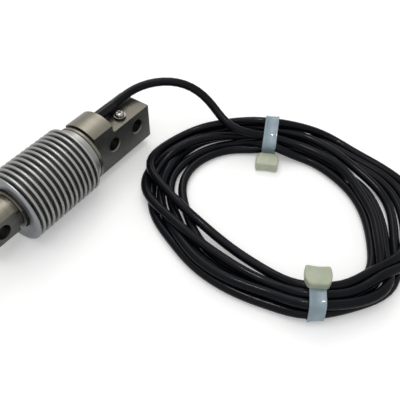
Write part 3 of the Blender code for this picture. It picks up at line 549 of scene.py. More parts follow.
def machined_steel(name, turned, milled, recess, rough=0.36):
    """Stainless steel with turning lines round the axis and milling lines along the flats; the flats, the
    hole walls and the corners carry painted shade.
    """
    n = Nodes(name)
    parts = n.add("ShaderNodeSeparateXYZ")
    n.link(n.place, parts.inputs[0])
    around, out = n.axis_space()
    lines = n.noise((5200, 5200, 0), 2.0, around)
    feed = n.noise((900, 900, 0), 2.0, around)
    mill = n.noise((260, 30, 5200), 2.0)
    cloud = n.noise((160, 160, 160), 4.0)
    broad = n.noise((45, 45, 45), 3.0)
    flat = n.span(n.facing("Y"), 0.90, 0.97)
    low_enough = n.math("ABSOLUTE", n.math("SUBTRACT", parts.outputs["Z"], FLOOR_Z), 0.0)
    on_floor = n.math("LESS_THAN", low_enough, FLOOR_BAND)
    beyond_step = n.math("GREATER_THAN", parts.outputs["X"], STEP_X)
    level = n.span(n.facing("Z"), 0.985, 0.999)
    floor_share = n.math("MULTIPLY", level, n.math("MULTIPLY", on_floor, beyond_step))
    colour = n.mix(n.span(feed, 0.3, 0.7), shade(turned, 0.90), shade(turned, 1.10))
    # The flats are painted darker than the turned crown: partly their milled tone, partly painted shade
    # standing in for the dark reflection they show.
    flat_tone_and_shade = n.mix(n.span(cloud, 0.3, 0.7), shade(milled, 0.88), shade(milled, 1.12))
    on_level = n.mix(n.span(cloud, 0.3, 0.7), shade(recess, 0.88), shade(recess, 1.10))
    colour = n.mix(flat, colour, flat_tone_and_shade)
    colour = n.mix(floor_share, colour, on_level)
    # Painted shade in the fixing holes: the walls are painted near-black at the top and lighter towards
    # the bottom, a painted reflection.
    off_axis = n.math("ABSOLUTE", n.math("SUBTRACT", parts.outputs["Z"], AXIS_Z), 0.0)
    hole_shade_and_reflection = n.math("MULTIPLY", n.math("LESS_THAN", off_axis, HOLE_BAND), n.span(flat, 1.0, 0.0))
    hole_shade_and_reflection = n.math("MULTIPLY", hole_shade_and_reflection, n.math("LESS_THAN", n.facing("X"), 0.9999))
    depth = n.span(parts.outputs["Z"], AXIS_Z - 0.0040, AXIS_Z + 0.0005)
    colour = n.mix(hole_shade_and_reflection, colour, n.mix(depth, (0.17, 0.17, 0.145), (0.040, 0.036, 0.028)))
    stain = n.math("MULTIPLY", n.span(broad, 0.50, 0.72), 0.30)
    colour = n.mix(stain, colour, shade(recess, 0.60))
    # Painted shade in the corners.
    dark = n.span(n.hollow(0.0014), 0.15, 0.65)
    colour = n.mix(dark, (0.045, 0.040, 0.030), colour)
    n.link(colour, n.shader.inputs["Base Color"])
    n.set("Metallic", 1.0)
    n.link(n.span(cloud, 0.25, 0.75, rough - 0.06, rough + 0.08), n.shader.inputs["Roughness"])
    n.set("Anisotropic", 0.25)
    n.bump(n.mix(flat, n.grey(lines), n.grey(mill)), 0.00004, 0.5)
    n.bump(cloud, 0.0001, 0.2)
    return n.material


def bellows_steel():
    """Thin rolled steel, painted lighter on the crests, with painted shade down in the roots and in its
    hollows.
    """
    n = Nodes("bellows_steel")
    around, out = n.axis_space()
    lines = n.noise((6000, 6000, 0), 2.0, around)
    cloud = n.noise((220, 220, 220), 4.0)
    # Painted shade: the roots are painted darker than the crests.
    height = n.span(out, ROOT_R, BELLOWS_R)
    colour = n.mix(height, (0.24, 0.24, 0.225), (0.29, 0.29, 0.28))
    colour = n.mix(n.span(cloud, 0.35, 0.75, 0.0, 0.35), colour, (0.26, 0.27, 0.28))
    colour = n.mix(n.math("LESS_THAN", n.along(), DOME_START_X), colour, (0.245, 0.253, 0.265))
    # Painted shade in the hollows between the convolutions.
    dark = n.span(n.hollow(0.0022), 0.0, 0.38)
    colour = n.mix(dark, (0.13, 0.13, 0.12), colour)
    n.link(colour, n.shader.inputs["Base Color"])
    n.set("Metallic", 1.0)
    n.link(n.span(cloud, 0.2, 0.8, 0.36, 0.50), n.shader.inputs["Roughness"])
    n.bump(lines, 0.00003, 0.35)
    n.bump(cloud, 0.00012, 0.30)
    return n.material


def bright_steel(name, colour, rough):
    """A bright metal, with painted shade in its corners."""
    n = Nodes(name)
    cloud = n.noise((500, 500, 500), 4.0)
    # Painted shade in the corners.
    dark = n.span(n.hollow(0.0008), 0.2, 0.8)
    clouded = n.mix(n.span(cloud, 0.3, 0.7), shade(colour, 0.85), colour)
    n.link(n.mix(dark, (0.05, 0.045, 0.04), clouded), n.shader.inputs["Base Color"])
    n.set("Metallic", 1.0)
    n.link(n.span(cloud, 0.2, 0.8, rough - 0.05, rough + 0.10), n.shader.inputs["Roughness"])
    n.bump(cloud, 0.00005, 0.3)
    return n.material


def plastic(name, dark, light, rough, scale=400, bump=0.00002, specular=0.5):
    """A moulded plastic, enamel or rubber, clouded between two shades."""
    n = Nodes(name)
    cloud = n.noise((scale, scale, scale), 4.0)
    broad = n.noise((scale / 8, scale / 8, scale / 8), 3.0)
    n.link(n.mix(n.span(broad, 0.3, 0.7), dark, light), n.shader.inputs["Base Color"])
    n.link(n.span(cloud, 0.2, 0.8, rough * 0.85, rough * 1.2), n.shader.inputs["Roughness"])
    n.set("Specular IOR Level", specular)
    n.bump(cloud, bump, 0.5)
    return n.material


def nylon(name, dark, light, rough):
    """Natural nylon: milky, with a waxy sheen."""
    n = Nodes(name)
    cloud = n.noise((260, 260, 260), 3.0)
    broad = n.noise((120, 120, 120), 3.0)
    n.link(n.mix(n.span(broad, 0.3, 0.7), dark, light), n.shader.inputs["Base Color"])
    n.link(n.span(cloud, 0.2, 0.8, rough * 0.8, rough * 1.2), n.shader.inputs["Roughness"])
    n.set("IOR", 1.53)
    n.set("Subsurface Weight", 0.25)
    n.set("Subsurface Radius", (0.6, 0.8, 0.7))
    n.set("Subsurface Scale", 0.002)
    return n.material


STEEL = machined_steel(
    "satin_steel",
    (0.168, 0.157, 0.127),
    (0.090, 0.090, 0.087),
    (0.112, 0.107, 0.086),
)
BELLOWS_STEEL = bellows_steel()
BRIGHT = bright_steel("bright_steel", (0.28, 0.275, 0.26), 0.24)
CABLE_LOOK = plastic(
    "cable_jacket",
    (0.0030, 0.0034, 0.0052),
    (0.0055, 0.0060, 0.0085),
    0.17,
    scale=500,
    bump=0.000005,
    specular=0.085,
)
BOOT_LOOK = plastic(
    "boot_rubber",
    (0.0030, 0.0035, 0.0060),
    (0.0055, 0.0062, 0.0095),
    0.18,
    scale=420,
    bump=0.00001,
    specular=0.14,
)
SEAL_LOOK = plastic("seal_rubber", (0.012, 0.012, 0.012), (0.03, 0.03, 0.03), 0.55)
FOIL_LOOK = plastic("gauge_foil", (0.60, 0.34, 0.12), (0.74, 0.48, 0.22), 0.40)
ENAMEL_LOOK = plastic("enamel", (0.36, 0.10, 0.03), (0.55, 0.19, 0.06), 0.30)
BOARD_LOOK = plastic("board", (0.03, 0.17, 0.06), (0.06, 0.27, 0.10), 0.42)
RESISTOR_LOOK = plastic("resistor", (0.07, 0.22, 0.38), (0.11, 0.30, 0.48), 0.38)
SHEATH_LOOK = plastic("core_sheath", (0.62, 0.60, 0.54), (0.76, 0.74, 0.69), 0.48)
NYLON = nylon("tie_nylon", (0.36, 0.40, 0.29), (0.45, 0.485, 0.37), 0.34)
THIN_NYLON = nylon("tie_nylon_thin", (0.19, 0.26, 0.31), (0.28, 0.36, 0.41), 0.16)
CORE_LOOKS = {
    "core_red": plastic("core_red", (0.42, 0.02, 0.02), (0.58, 0.04, 0.03), 0.38),
    "core_black": plastic("core_black", (0.012, 0.012, 0.012), (0.028, 0.028, 0.028), 0.38),
    "core_green": plastic("core_green", (0.02, 0.22, 0.06), (0.04, 0.33, 0.09), 0.38),
    "core_white": plastic("core_white", (0.70, 0.70, 0.68), (0.82, 0.82, 0.80), 0.38),
}
TINNED = bright_steel("tinned_copper", (0.66, 0.62, 0.56), 0.30)

# Cable
line = cable_line()
cable = tube("cable", line, CABLE_R, CABLE_LOOK, "cable_lead", "cable_coil", "cable_tail")


def make_cores():
    """The four cores where the jacket is stripped, fanned out a little, with their tinned ends bare."""
    end = Vector(TAIL[-1])
    along = (end - Vector(TAIL[-2])).normalized()
    aside = Vector((-along.y, along.x, 0.0))
    made = []
    for index, (name, look) in enumerate(CORE_LOOKS.items()):
        side = (index - 1.5) / 1.5
        start = end - along * CORE_TUCK + aside * side * (CABLE_R - CORE_R) * 0.55
        start.z = end.z + (0.0006 if index % 2 else -0.0006)
        points = []
        for step in range(CORE_STEPS + 1):
            t = step / CORE_STEPS
            bend = t * t * (3 - 2 * t)
            place = start + along * (CORE_LENGTH + CORE_TUCK) * t + aside * side * CORE_SPREAD * bend
            place.z = start.z + (CORE_R * 1.2 - start.z) * bend
            points.append(place)
        covered = CORE_STEPS - round(CORE_STEPS * CORE_BARE / CORE_LENGTH)
        core = tube(f"{name}_insulation", points[: covered + 1], CORE_R, look, name)
        tip = tube(f"{name}_tip", points[covered:], CORE_R * 0.55, TINNED)
        made += [core, tip]
    return made


def arc(x, r, radius, start, end, steps):
    """Points of an arc in the plane of a turned profile."""
    points = []
    for step in range(steps + 1):
        angle = math.radians(start + (end - start) * step / steps)
        points.append((x + radius * math.cos(angle), r + radius * math.sin(angle)))
    return points


def turned(name, profile, look, *nodes, steps=128, closed=False, frame=None, wall=0.0):
    """A piece turned about the cell's axis, or a frame's: its profile gives places along it and radii."""
    bm = bmesh.new()
    rows = []
    for x, radius in profile:
        if radius < 1e-6:
            rows.append([bm.verts.new((x, 0.0, 0.0))] * steps)
            continue
        row = []
        for turn in range(steps):
            angle = 2 * math.pi * turn / steps
            row.append(bm.verts.new((x, radius * math.cos(angle), radius * math.sin(angle))))
        rows.append(row)
    pairs = list(zip(rows, rows[1:]))
    if closed:
        pairs.append((rows[-1], rows[0]))
    for row, following in pairs:
        for turn in range(steps):
            after = (turn + 1) % steps
            corners = []
            for corner in (row[turn], row[after], following[after], following[turn]):
                if corner not in corners:
                    corners.append(corner)
            bm.faces.new(corners)
    bmesh.ops.transform(bm, matrix=frame or Matrix.Translation((0.0, 0.0, AXIS_Z)), verts=bm.verts)
    bmesh.ops.recalc_face_normals(bm, faces=bm.faces)
    obj = add_piece(name, mesh_of(name, bm), look, *nodes)
    if wall:
        shell = obj.modifiers.new("wall", "SOLIDIFY")
        shell.thickness = wall
        shell.offset = -1.0
        bake(obj)
    obj.data.shade_smooth()
    obj.data.set_sharp_from_angle(angle=math.radians(38))
    return obj


def bake(obj):
    """Turns the object's modifiers into its own mesh."""
    bpy.context.view_layer.update()
    graph = bpy.context.evaluated_depsgraph_get()
    made = bpy.data.meshes.new_from_object(obj.evaluated_get(graph))
    obj.modifiers.clear()
    obj.data = made


def box(name, size, centre):
    bm = bmesh.new()
    bmesh.ops.create_cube(bm, size=1.0)
    bmesh.ops.scale(bm, vec=Vector(size), verts=bm.verts)
    bmesh.ops.translate(bm, vec=Vector(centre), verts=bm.verts)
    return loose(name, mesh_of(name, bm))


def cone(bm, start, end, depth, steps):
    """Adds a closed cone, or a bar where both radii are the same."""
    bmesh.ops.create_cone(
        bm,
        cap_ends=True,
        segments=steps,
        radius1=start,
        radius2=end,
        depth=depth,
    )


def bar(name, radius, length, centre, axis, steps=64):
    bm = bmesh.new()
    cone(bm, radius, radius, length, steps)
    turn = {"X": Matrix.Rotation(math.pi / 2, 4, "Y"), "Y": Matrix.Rotation(math.pi / 2, 4, "X")}
    bmesh.ops.transform(bm, matrix=turn.get(axis, Matrix.Identity(4)), verts=bm.verts)
    bmesh.ops.translate(bm, vec=Vector(centre), verts=bm.verts)
    return loose(name, mesh_of(name, bm))


def cut(obj, cutters):
    """Cuts each cutter out of the object and removes the cutters."""
    for cutter in cutters:
        modifier = obj.modifiers.new(cutter.name, "BOOLEAN")
        modifier.operation = "DIFFERENCE"
        modifier.solver = "EXACT"
        modifier.object = cutter
    bake(obj)
    for cutter in cutters:
        bpy.data.objects.remove(cutter, do_unlink=True)


def break_edges(obj, width, segments=2, angle=35):
    """Breaks the sharp edges by a small round."""
    edges = obj.modifiers.new("edge_break", "BEVEL")
    edges.width = width
    edges.segments = segments
    edges.limit_method = "ANGLE"
    edges.angle_limit = math.radians(angle)
    edges.harden_normals = True
    obj.data.shade_smooth()
    bake(obj)


def side_cutters(name, start_x, end_x, width, height):
    """What leaves flats at a width, and at a height where there is one."""
    long = start_x - end_x
    middle = (start_x + end_x) / 2
    deep = 0.02
    for side in (-1, 1):
        place = (middle, side * (width / 2 + deep / 2), AXIS_Z)
        yield box(f"{name}_side{side}", (long, deep, 0.08), place)
        if height:
            place = (middle, 0.0, AXIS_Z + side * (height / 2 + deep / 2))
            yield box(f"{name}_level{side}", (long, 0.08, deep), place)


def recess_cutter():
    """The recess for the cable: a flat floor that meets the step in a milled round."""
    top = 0.05
    outline = [(FIXED_END_X + OVERCUT, top), (FIXED_END_X + OVERCUT, FLOOR_Z)]
    for step in range(11):
        angle = math.pi / 2 * step / 10
        outline.append(
            (
                STEP_X + RECESS_FOOT_R * (1 - math.sin(angle)),
                FLOOR_Z + RECESS_FOOT_R * (1 - math.cos(angle)),
            )
        )
    outline.append((STEP_X, top))
    bm = bmesh.new()
    near = [bm.verts.new((x, -0.03, z)) for x, z in outline]
    far = [bm.verts.new((x, 0.03, z)) for x, z in outline]
    bm.faces.new(near)
    bm.faces.new(list(reversed(far)))
    for index in range(len(outline)):
        after = (index + 1) % len(outline)
        bm.faces.new((near[index], far[index], far[after], near[after]))
    bmesh.ops.recalc_face_normals(bm, faces=bm.faces)
    return loose("recess", mesh_of("recess", bm))


def hole_chamfer(name, x, side):
    """A cone that opens a fixing hole's edge on one flat."""
    deep = 0.002
    bm = bmesh.new()
    wide = FIXING_HOLE_D / 2 + HOLE_CHAMFER + deep / 2
    cone(bm, wide - deep, wide, deep, 64)
    turn = Matrix.Rotation(-side * math.pi / 2, 4, "X")
    bmesh.ops.transform(bm, matrix=turn, verts=bm.verts)
    bmesh.ops.translate(bm, vec=Vector((x, side * BODY_WIDTH / 2, AXIS_Z)), verts=bm.verts)
    return loose(name, mesh_of(name, bm))


def make_body():
    """Fixed block, beam and load stub from one bar, with the edges broken."""
    inner_r = math.hypot(BEAM_WIDTH, BEAM_HEIGHT) / 2 + CLEARANCE
    profile = [
        (FIXED_END_X, 0.0),
        (FIXED_END_X, BODY_R),
        (BODY_END_X, BODY_R),
        (BODY_END_X, SPIGOT_R),
        (BEAM_START_X, SPIGOT_R),
        (BEAM_START_X, inner_r),
        (BEAM_END_X, inner_r),
        (BEAM_END_X, LOAD_SPIGOT_R),
        (STUB_X, LOAD_SPIGOT_R),
        (STUB_X, STUB_R),
        (LOAD_END_X, STUB_R),
        (LOAD_END_X, 0.0),
    ]
    body = turned("machined_body", profile, STEEL, "beam_body", steps=160)
    block_end = BODY_END_X - GROOVE_WIDTH / 2
    cutters = list(side_cutters("block", FIXED_END_X + OVERCUT, block_end, BODY_WIDTH, 0))
    cutters += side_cutters("beam", BEAM_START_X, BEAM_END_X, BEAM_WIDTH, BEAM_HEIGHT)
    cutters += side_cutters("stub", STUB_X + LOAD_GROOVE_LENGTH / 4, LOAD_END_X - OVERCUT, STUB_FLATS, 0)
    cutters.append(recess_cutter())
    for index in range(2):
        x = FIXED_END_X - FIXING_HOLE_INSET - index * FIXING_HOLE_PITCH
        cutters.append(bar(f"fixing_{index}", FIXING_HOLE_D / 2, 0.04, (x, 0.0, AXIS_Z), "Y"))
    x = LOAD_END_X + LOAD_HOLE_INSET
    cutters.append(bar("load_hole", LOAD_HOLE_D / 2, 0.04, (x, 0.0, AXIS_Z), "Y"))
    long = STEP_X - ENTRY_END_X + 0.01
    place = (ENTRY_END_X + long / 2, ENTRY_Y, ENTRY_Z)
    cutters.append(bar("entry", BOOT_R + CLEARANCE, long, place, "X"))
    place = (FIXED_END_X - SCREW_X_INSET, SCREW_Y, FLOOR_Z)
    cutters.append(bar("screw_hole", SCREW_R + CLEARANCE, 0.0106, place, "Z", 32))
    cut(body, cutters)
    chamfers = []
    for index in range(2):
        x = FIXED_END_X - FIXING_HOLE_INSET - index * FIXING_HOLE_PITCH
        for side in (-1, 1):
            chamfers.append(hole_chamfer(f"chamfer_{index}_{side}", x, side))
    cut(body, chamfers)
    break_edges(body, EDGE_BREAK)


def bellows_profile():
    """The outer line of the bellows, from its skirt to its neck."""
    points = [(SKIRT_X, SKIRT_R), (SKIRT_X - SKIRT_LENGTH * 0.55, SKIRT_R)]
    half = CONVOLUTION_PITCH / 2
    for index in range(CONVOLUTIONS):
        crest = FIRST_CREST_X - index * CONVOLUTION_PITCH
        uneven = 0.00008 * math.sin(index * 2.3)
        if index == 0:
            points.append((crest + half, SKIRT_R + 0.0001))
        points += arc(crest + uneven, BELLOWS_R - CREST_ROUND, CREST_ROUND, 8, 172, 10)
        if index < CONVOLUTIONS - 1:
            points += arc(crest - half, ROOT_R + ROOT_ROUND, ROOT_ROUND, -8, -172, 8)
    return points + dome_profile()


def dome_profile():
    """The wide end convolution, dished round the neck."""
    root = LAST_CREST_X - CONVOLUTION_PITCH / 2
    span = root - DOME_END_X
    depth = BELLOWS_R - NECK_R
    shape = (
        (0.0, 0.36),
        (0.02, 0.27),
        (0.10, 0.14),
        (0.24, 0.045),
        (0.42, 0.004),
        (0.58, 0.006),
        (0.74, 0.035),
        (0.88, 0.095),
        (0.965, 0.17),
        (1.0, 0.26),
        (0.99, 0.36),
        (0.93, 0.47),
        (0.84, 0.58),
        (0.73, 0.69),
        (0.61, 0.79),
        (0.50, 0.87),
    )
    points = [(root - span * a, BELLOWS_R - depth * b) for a, b in shape]
    return points + [
        (NECK_X + NECK_LENGTH - 0.0002, NECK_R + 0.0004),
        (NECK_X + NECK_LENGTH - 0.0006, NECK_R),
        (NECK_X, NECK_R),
    ]


def make_bellows():
    """The bellows as one thin wall."""
    profile = bellows_profile()
    bellows = turned("bellows_skin", profile, BELLOWS_STEEL, "bellows", steps=160, wall=BELLOWS_WALL)
    return bellows


def make_rings():
    """The weld rings, each with its seam."""
    inner = SPIGOT_R + CLEARANCE
    shoulder = SKIRT_X + CLEARANCE
    rebate = SKIRT_R - BELLOWS_WALL - CLEARANCE
    top = FIXED_RING_R
    profile = [(RING_X, inner), (RING_X, top - EDGE_BREAK), (RING_X - EDGE_BREAK, top)]
    profile += [(shoulder + 0.0005, top), (shoulder + 0.0003, top - 0.0002), (shoulder + 0.0001, top)]
    profile += [(shoulder, top - 0.0001), (shoulder, rebate)]
    profile += [(SKIRT_X - FIXED_REBATE_LENGTH, rebate), (SKIRT_X - FIXED_REBATE_LENGTH, inner)]
    ring = turned("fixed_weld_ring", profile, STEEL, "fixed_end_ring", closed=True, steps=160)
    inner = LOAD_SPIGOT_R + CLEARANCE
    rebate = NECK_R - BELLOWS_WALL - CLEARANCE
    shoulder = NECK_X - CLEARANCE
    top = LOAD_RING_R
    profile = [(NECK_X + LOAD_REBATE_LENGTH, inner), (NECK_X + LOAD_REBATE_LENGTH, rebate)]
    profile += [(shoulder, rebate), (shoulder, top - 0.0002), (shoulder - 0.0002, top)]
    profile += [(LOAD_RING_X + EDGE_BREAK, top), (LOAD_RING_X, top - EDGE_BREAK), (LOAD_RING_X, inner)]
    ring = turned("load_weld_ring", profile, STEEL, "load_end_ring", closed=True)


def make_boot():
    """The sleeve where the cable leaves, drawn in at its tip."""
    inner = CABLE_R + CLEARANCE
    tip = STEP_X + BOOT_LENGTH
    start = ENTRY_END_X + 0.0022
    top = BOOT_SLEEVE_R
    profile = [(start, inner), (start, top), (tip - BOOT_TIP_LENGTH, top)]
    profile += [(tip - 0.0022, top - 0.00005), (tip - 0.0006, BOOT_TIP_R + 0.00005)]
    profile += [(tip - 0.0001, BOOT_TIP_R), (tip, BOOT_TIP_R - 0.00015), (tip, inner)]
    frame = Matrix.Translation((0.0, ENTRY_Y, ENTRY_Z))
    boot = turned("boot", profile, BOOT_LOOK, "cable_boot", closed=True, steps=64, frame=frame)


def upright_frame(z):
    """A frame whose first axis points up over the screw hole."""
    place = Matrix.Translation((FIXED_END_X - SCREW_X_INSET, SCREW_Y, z))
    return place @ Matrix.Rotation(-math.pi / 2, 4, "Y")


def make_screw():
    """Pan head screw with a cross, its washer and its sealing ring."""
    hole = SCREW_R + CLEARANCE
    base = FLOOR_Z
    soft = 0.0002
    thick = SEAL_RING_THICKNESS
    profile = [(0.0, hole), (thick, hole), (thick, SEAL_RING_R - soft), (thick - soft, SEAL_RING_R)]
    profile += [(soft, SEAL_RING_R), (0.0, SEAL_RING_R - soft)]
    place = upright_frame(base)
    ring = turned("screw_seal", profile, SEAL_LOOK, "sealing_ring", closed=True, steps=64, frame=place)
    washer_z = base + SEAL_RING_THICKNESS
    thick = WASHER_THICKNESS
    soft = 0.00012
    profile = [(0.0, hole), (thick, hole), (thick, WASHER_R - soft), (thick - soft, WASHER_R)]
    profile += [(soft, WASHER_R), (0.0, WASHER_R - soft)]
    place = upright_frame(washer_z)
    washer = turned("washer", profile, BRIGHT, "plain_washer", closed=True, steps=64, frame=place)
    head_z = washer_z + WASHER_THICKNESS
    low = FLOOR_Z - SCREW_LENGTH - head_z
    profile = [(low, 0.0), (low, SCREW_R), (0.0, SCREW_R), (0.0, HEAD_R - 0.0001), (0.0001, HEAD_R)]
    for share in range(1, 11):
        angle = math.pi / 2 * share / 10
        out = HEAD_R * 0.45 + HEAD_R * 0.55 * math.cos(angle)
        profile.append((HEAD_HEIGHT * (0.35 + 0.65 * math.sin(angle)), out))
    profile.append((HEAD_HEIGHT, 0.0))
    screw = turned("screw", profile, BRIGHT, "recess_screw", steps=64, frame=upright_frame(head_z))
    place = (FIXED_END_X - SCREW_X_INSET, SCREW_Y, head_z + HEAD_HEIGHT)
    cross = [
        box("cross_along", (CROSS_WIDTH, CROSS_SPAN, CROSS_DEPTH), place),
        box("cross_over", (CROSS_SPAN, CROSS_WIDTH, CROSS_DEPTH), place),
    ]
    cut(screw, cross)
    break_edges(screw, 0.00008, 1)


def tie_section(angle, azimuth):
    """The tie's place, its directions outward and along, and where the strands cross its plane."""
    a = math.radians(angle)
    radial = np.array([math.cos(a), math.sin(a), 0.0])
    centre = np.array(tuple(COIL_CENTRE))
    outward = np.array([math.cos(math.radians(azimuth)), math.sin(math.radians(azimuth)), 0.0])
    normal = np.array([-outward[1], outward[0], 0.0])
    origin = centre + radial * 0.06
    for _ in range(SECTION_ROUNDS):
        side = (line - origin) @ normal
        found = []
        for index in np.nonzero(side[:-1] * side[1:] < 0)[0]:
            t = side[index] / (side[index] - side[index + 1])
            place = line[index] * (1 - t) + line[index + 1] * t
            tangent = line[index + 1] - line[index]
            tangent /= np.linalg.norm(tangent)
            if (place - centre) @ radial > 0.03 and place[2] < 0.022 and abs(tangent @ normal) > 0.6:
                found.append((place, tangent * np.sign(tangent @ normal)))
        middle = np.mean([place for place, tangent in found], axis=0)
        origin = centre + radial * ((middle - centre) @ radial)
    straight = np.mean([tangent for place, tangent in found], axis=0)
    straight[2] = 0.0
    along = straight / (straight @ normal)
    strands = [((place - origin) @ outward, place[2]) for place, tangent in found]
    return Vector(origin), Vector(outward), Vector(along), strands


def hull_path(strands, radius):
    """The line a strap takes round the strands: a closed path at even spacing."""
    spots = []
    for x, z in strands:
        for step in range(HULL_STEPS):
            angle = 2 * math.pi * step / HULL_STEPS
            spots.append((x + radius * math.cos(angle), max(z + radius * math.sin(angle), STRAP_LOWEST)))
    spots = sorted(set(spots))
    halves = []
    for run in (spots, spots[::-1]):
        chain = []
        for spot in run:
            while len(chain) > 1:
                (ax, az), (bx, bz) = chain[-2], chain[-1]
                if (bx - ax) * (spot[1] - az) - (bz - az) * (spot[0] - ax) > 0:
                    break
                chain.pop()
            chain.append(spot)
        halves += chain[:-1]
    ring = np.array(halves + halves[:1])
    walked = np.concatenate([[0.0], np.cumsum(np.linalg.norm(np.diff(ring, axis=0), axis=1))])
    wanted = np.linspace(0.0, walked[-1], STRAP_ROWS + 1)[:-1]
    return np.stack([np.interp(wanted, walked, ring[:, axis]) for axis in range(2)], axis=1)


def make_tie(name, angle, azimuth, head_on_top):
    """A strap drawn tight round the strands, with its locking head."""
    origin, outward, along, strands = tie_section(angle, azimuth)
    path = hull_path(strands, CABLE_R + TIE_GAP)
    nearby = np.roll(path, -1, axis=0) - np.roll(path, 1, axis=0)
    normals = np.stack([nearby[:, 1], -nearby[:, 0]], axis=1)
    normals /= np.linalg.norm(normals, axis=1)[:, None]
    half = TIE_WIDTH / 2
    t = TIE_THICKNESS
    section = [(0.0, -half + 0.0002), (0.0002, -half), (t - 0.0003, -half), (t, -half + 0.0003)]
    section += [(t, -half + 0.0011), (t - 0.0002, -half + 0.0015)]
    section += [(out, -across) for out, across in reversed(section)]
    bm = bmesh.new()
    rows = []
    for (x, z), (nx, nz) in zip(path, normals):
        row = []
        for out, across in section:
            place = origin + outward * (x + nx * out) + along * across
            place.z = z + nz * out
            row.append(bm.verts.new(place))
        rows.append(row)
    for row, following in zip(rows, rows[1:] + rows[:1]):
        for index in range(len(section)):
            after = (index + 1) % len(section)
            bm.faces.new((row[index], row[after], following[after], following[index]))
    bmesh.ops.recalc_face_normals(bm, faces=bm.faces)
    strap = add_piece(f"{name}_strap", mesh_of(name, bm), THIN_NYLON, name)
    strap.data.shade_smooth()
    strap.data.set_sharp_from_angle(angle=math.radians(40))
    left = path[:, 0].min() - TIE_THICKNESS
    top = path[:, 1].max() + TIE_THICKNESS
    size = NEAR_HEAD if head_on_top else FAR_HEAD
    if head_on_top:
        x = left + TIE_THICKNESS - NEAR_HEAD_OVERHANG + size[0] / 2
        z = top - 0.0012 + size[2] / 2
    else:
        x = left + FAR_HEAD_BITE - size[0] / 2
        z = 0.0002 + size[2] / 2
    frame = Matrix.Identity(4)
    frame.col[0] = (*outward, 0.0)
    frame.col[1] = (*Vector((0.0, 0.0, 1.0)).cross(outward), 0.0)
    frame.col[3] = (*(origin + outward * x + Vector((0.0, 0.0, z))), 1.0)
    head = make_head(f"{name}_head", size, frame)
    return strap, head


def make_head(name, size, frame):
    """The locking head: a soft cushion, a little hollow at one end and drawn in at the strap."""
    long, wide, thick = size
    # along the head and out from its middle, as shares of its length and of half its width
    outline = (
        (0.05, 0.0),
        (0.03, 0.42),
        (0.0, 0.78),
        (0.02, 0.88),
        (0.10, 0.95),
        (0.30, 1.0),
        (0.55, 1.0),
        (0.75, 0.93),
        (0.90, 0.80),
        (1.0, 0.66),
        (1.0, 0.0),
    )
    side = [((share - 0.5) * long, out * wide / 2) for share, out in outline]
    ring = side + [(x, -y) for x, y in reversed(side[1:-1])]
    bm = bmesh.new()
    low = [bm.verts.new((x, y, -thick / 2)) for x, y in ring]
    high = [bm.verts.new((x, y, thick / 2)) for x, y in ring]
    bm.faces.new(low)
    bm.faces.new(high)
    for index in range(len(ring)):
        after = (index + 1) % len(ring)
        bm.faces.new((low[index], low[after], high[after], high[index]))
    bmesh.ops.recalc_face_normals(bm, faces=bm.faces)
    head = add_piece(name, mesh_of(name, bm), NYLON)
    break_edges(head, HEAD_ROUND, 5, 50)
    head.data.transform(frame)
    return head


tie_pieces = [
    *make_tie("cable_tie_far", FAR_TIE, FAR_TIE_AZIMUTH, False),
    *make_tie("cable_tie_near", NEAR_TIE, NEAR_TIE_AZIMUTH, True),
]
make_cores() + tie_pieces
make_body()
make_bellows()
make_rings()
make_boot()
make_screw()

NODE_LOOKS = {
    "cable_seal": SEAL_LOOK,
    "core_bundle": SHEATH_LOOK,
    "terminal_board": BOARD_LOOK,
    "trim_resistor_1": RESISTOR_LOOK,
    "trim_resistor_2": RESISTOR_LOOK,
}
for number in range(1, 5):
    NODE_LOOKS[f"strain_gauge_{number}"] = FOIL_LOOK
    NODE_LOOKS[f"gauge_lead_{number}"] = ENAMEL_LOOK
for node, look in NODE_LOOKS.items():
    bpy.data.objects[node].data.materials.clear()
    bpy.data.objects[node].data.materials.append(look)


def white_rays(tree):
    """One for camera, glossy and transmission rays, which see white, and nought for the rest."""
    path = tree.nodes.new("ShaderNodeLightPath")
    total = None
    for name in ("Is Camera Ray", "Is Glossy Ray", "Is Transmission Ray"):
        if total is None:
            total = path.outputs[name]
            continue
        most = tree.nodes.new("ShaderNodeMath")
        most.operation = "MAXIMUM"
        tree.links.new(total, most.inputs[0])
        tree.links.new(path.outputs[name], most.inputs[1])
        total = most.outputs[0]
    return total


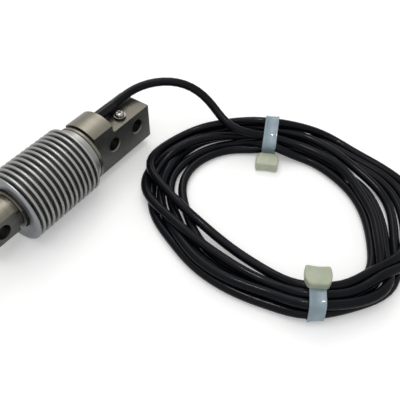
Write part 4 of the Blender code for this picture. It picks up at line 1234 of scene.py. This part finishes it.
def make_floor():
    """A pale floor that keeps the object's shadow."""
    bm = bmesh.new()
    bmesh.ops.create_grid(bm, x_segments=1, y_segments=1, size=FLOOR_SIZE)
    floor = loose("floor", mesh_of("floor", bm))
    look = bpy.data.materials.new("floor")
    look.use_nodes = True
    tree = look.node_tree
    shader = tree.nodes["Principled BSDF"]
    shader.inputs["Base Color"].default_value = (0.90, 0.90, 0.90, 1.0)
    shader.inputs["Roughness"].default_value = 0.9
    shader.inputs["Specular IOR Level"].default_value = 0.0
    shader.inputs["Emission Color"].default_value = (1.0, 1.0, 1.0, 1.0)
    glow = tree.nodes.new("ShaderNodeMath")
    glow.operation = "MULTIPLY"
    tree.links.new(white_rays(tree), glow.inputs[0])
    glow.inputs[1].default_value = FLOOR_GLOW
    tree.links.new(glow.outputs[0], shader.inputs["Emission Strength"])
    floor.data.materials.append(look)


# Floor and light
FLOOR_SIZE = 3.0
FLOOR_GLOW = 0.24
SKY_LEVEL = 0.55
LAMPS = (
    # place, size, power, colour
    ((0.00, 0.06, 1.00), 0.90, 2.9, (1.0, 0.99, 0.975)),
    ((0.50, 0.34, 0.70), 0.40, 1.5, (1.0, 0.985, 0.96)),
    ((-0.60, -0.45, 0.60), 0.60, 0.7, (0.96, 0.98, 1.0)),
    ((0.06, 0.06, 0.95), 0.10, 2.4, (1.0, 1.0, 1.0)),
)
GLINT_LAMP = 3
LIT_SPOT = Vector((0.03, -0.05, 0.01))


def make_light():
    """A white world for what sees the background, a dimmer one for the rest, and the lamps."""
    world = bpy.data.worlds.new("studio")
    bpy.context.scene.world = world
    world.use_nodes = True
    tree = world.node_tree
    sky = tree.nodes["Background"]
    sky.inputs["Color"].default_value = (1.0, 1.0, 1.0, 1.0)
    level = tree.nodes.new("ShaderNodeMapRange")
    tree.links.new(white_rays(tree), level.inputs["Value"])
    level.inputs["To Min"].default_value = SKY_LEVEL
    level.inputs["To Max"].default_value = 1.0
    tree.links.new(level.outputs["Result"], sky.inputs["Strength"])
    for index, (place, size, power, colour) in enumerate(LAMPS):
        data = bpy.data.lights.new(f"lamp_{index}", "AREA")
        data.shape = "SQUARE"
        data.size = size
        data.energy = power
        data.color = colour
        lamp = bpy.data.objects.new(f"lamp_{index}", data)
        bpy.context.scene.collection.objects.link(lamp)
        # The small lamp is only seen mirrored, so that it casts no hard shadow
        lamp.visible_diffuse = index != GLINT_LAMP
        lamp.location = place
        aim = LIT_SPOT - Vector(place)
        lamp.rotation_euler = aim.to_track_quat("-Z", "Y").to_euler()


make_floor()
make_light()

bpy.context.scene.view_settings.view_transform = "Standard"
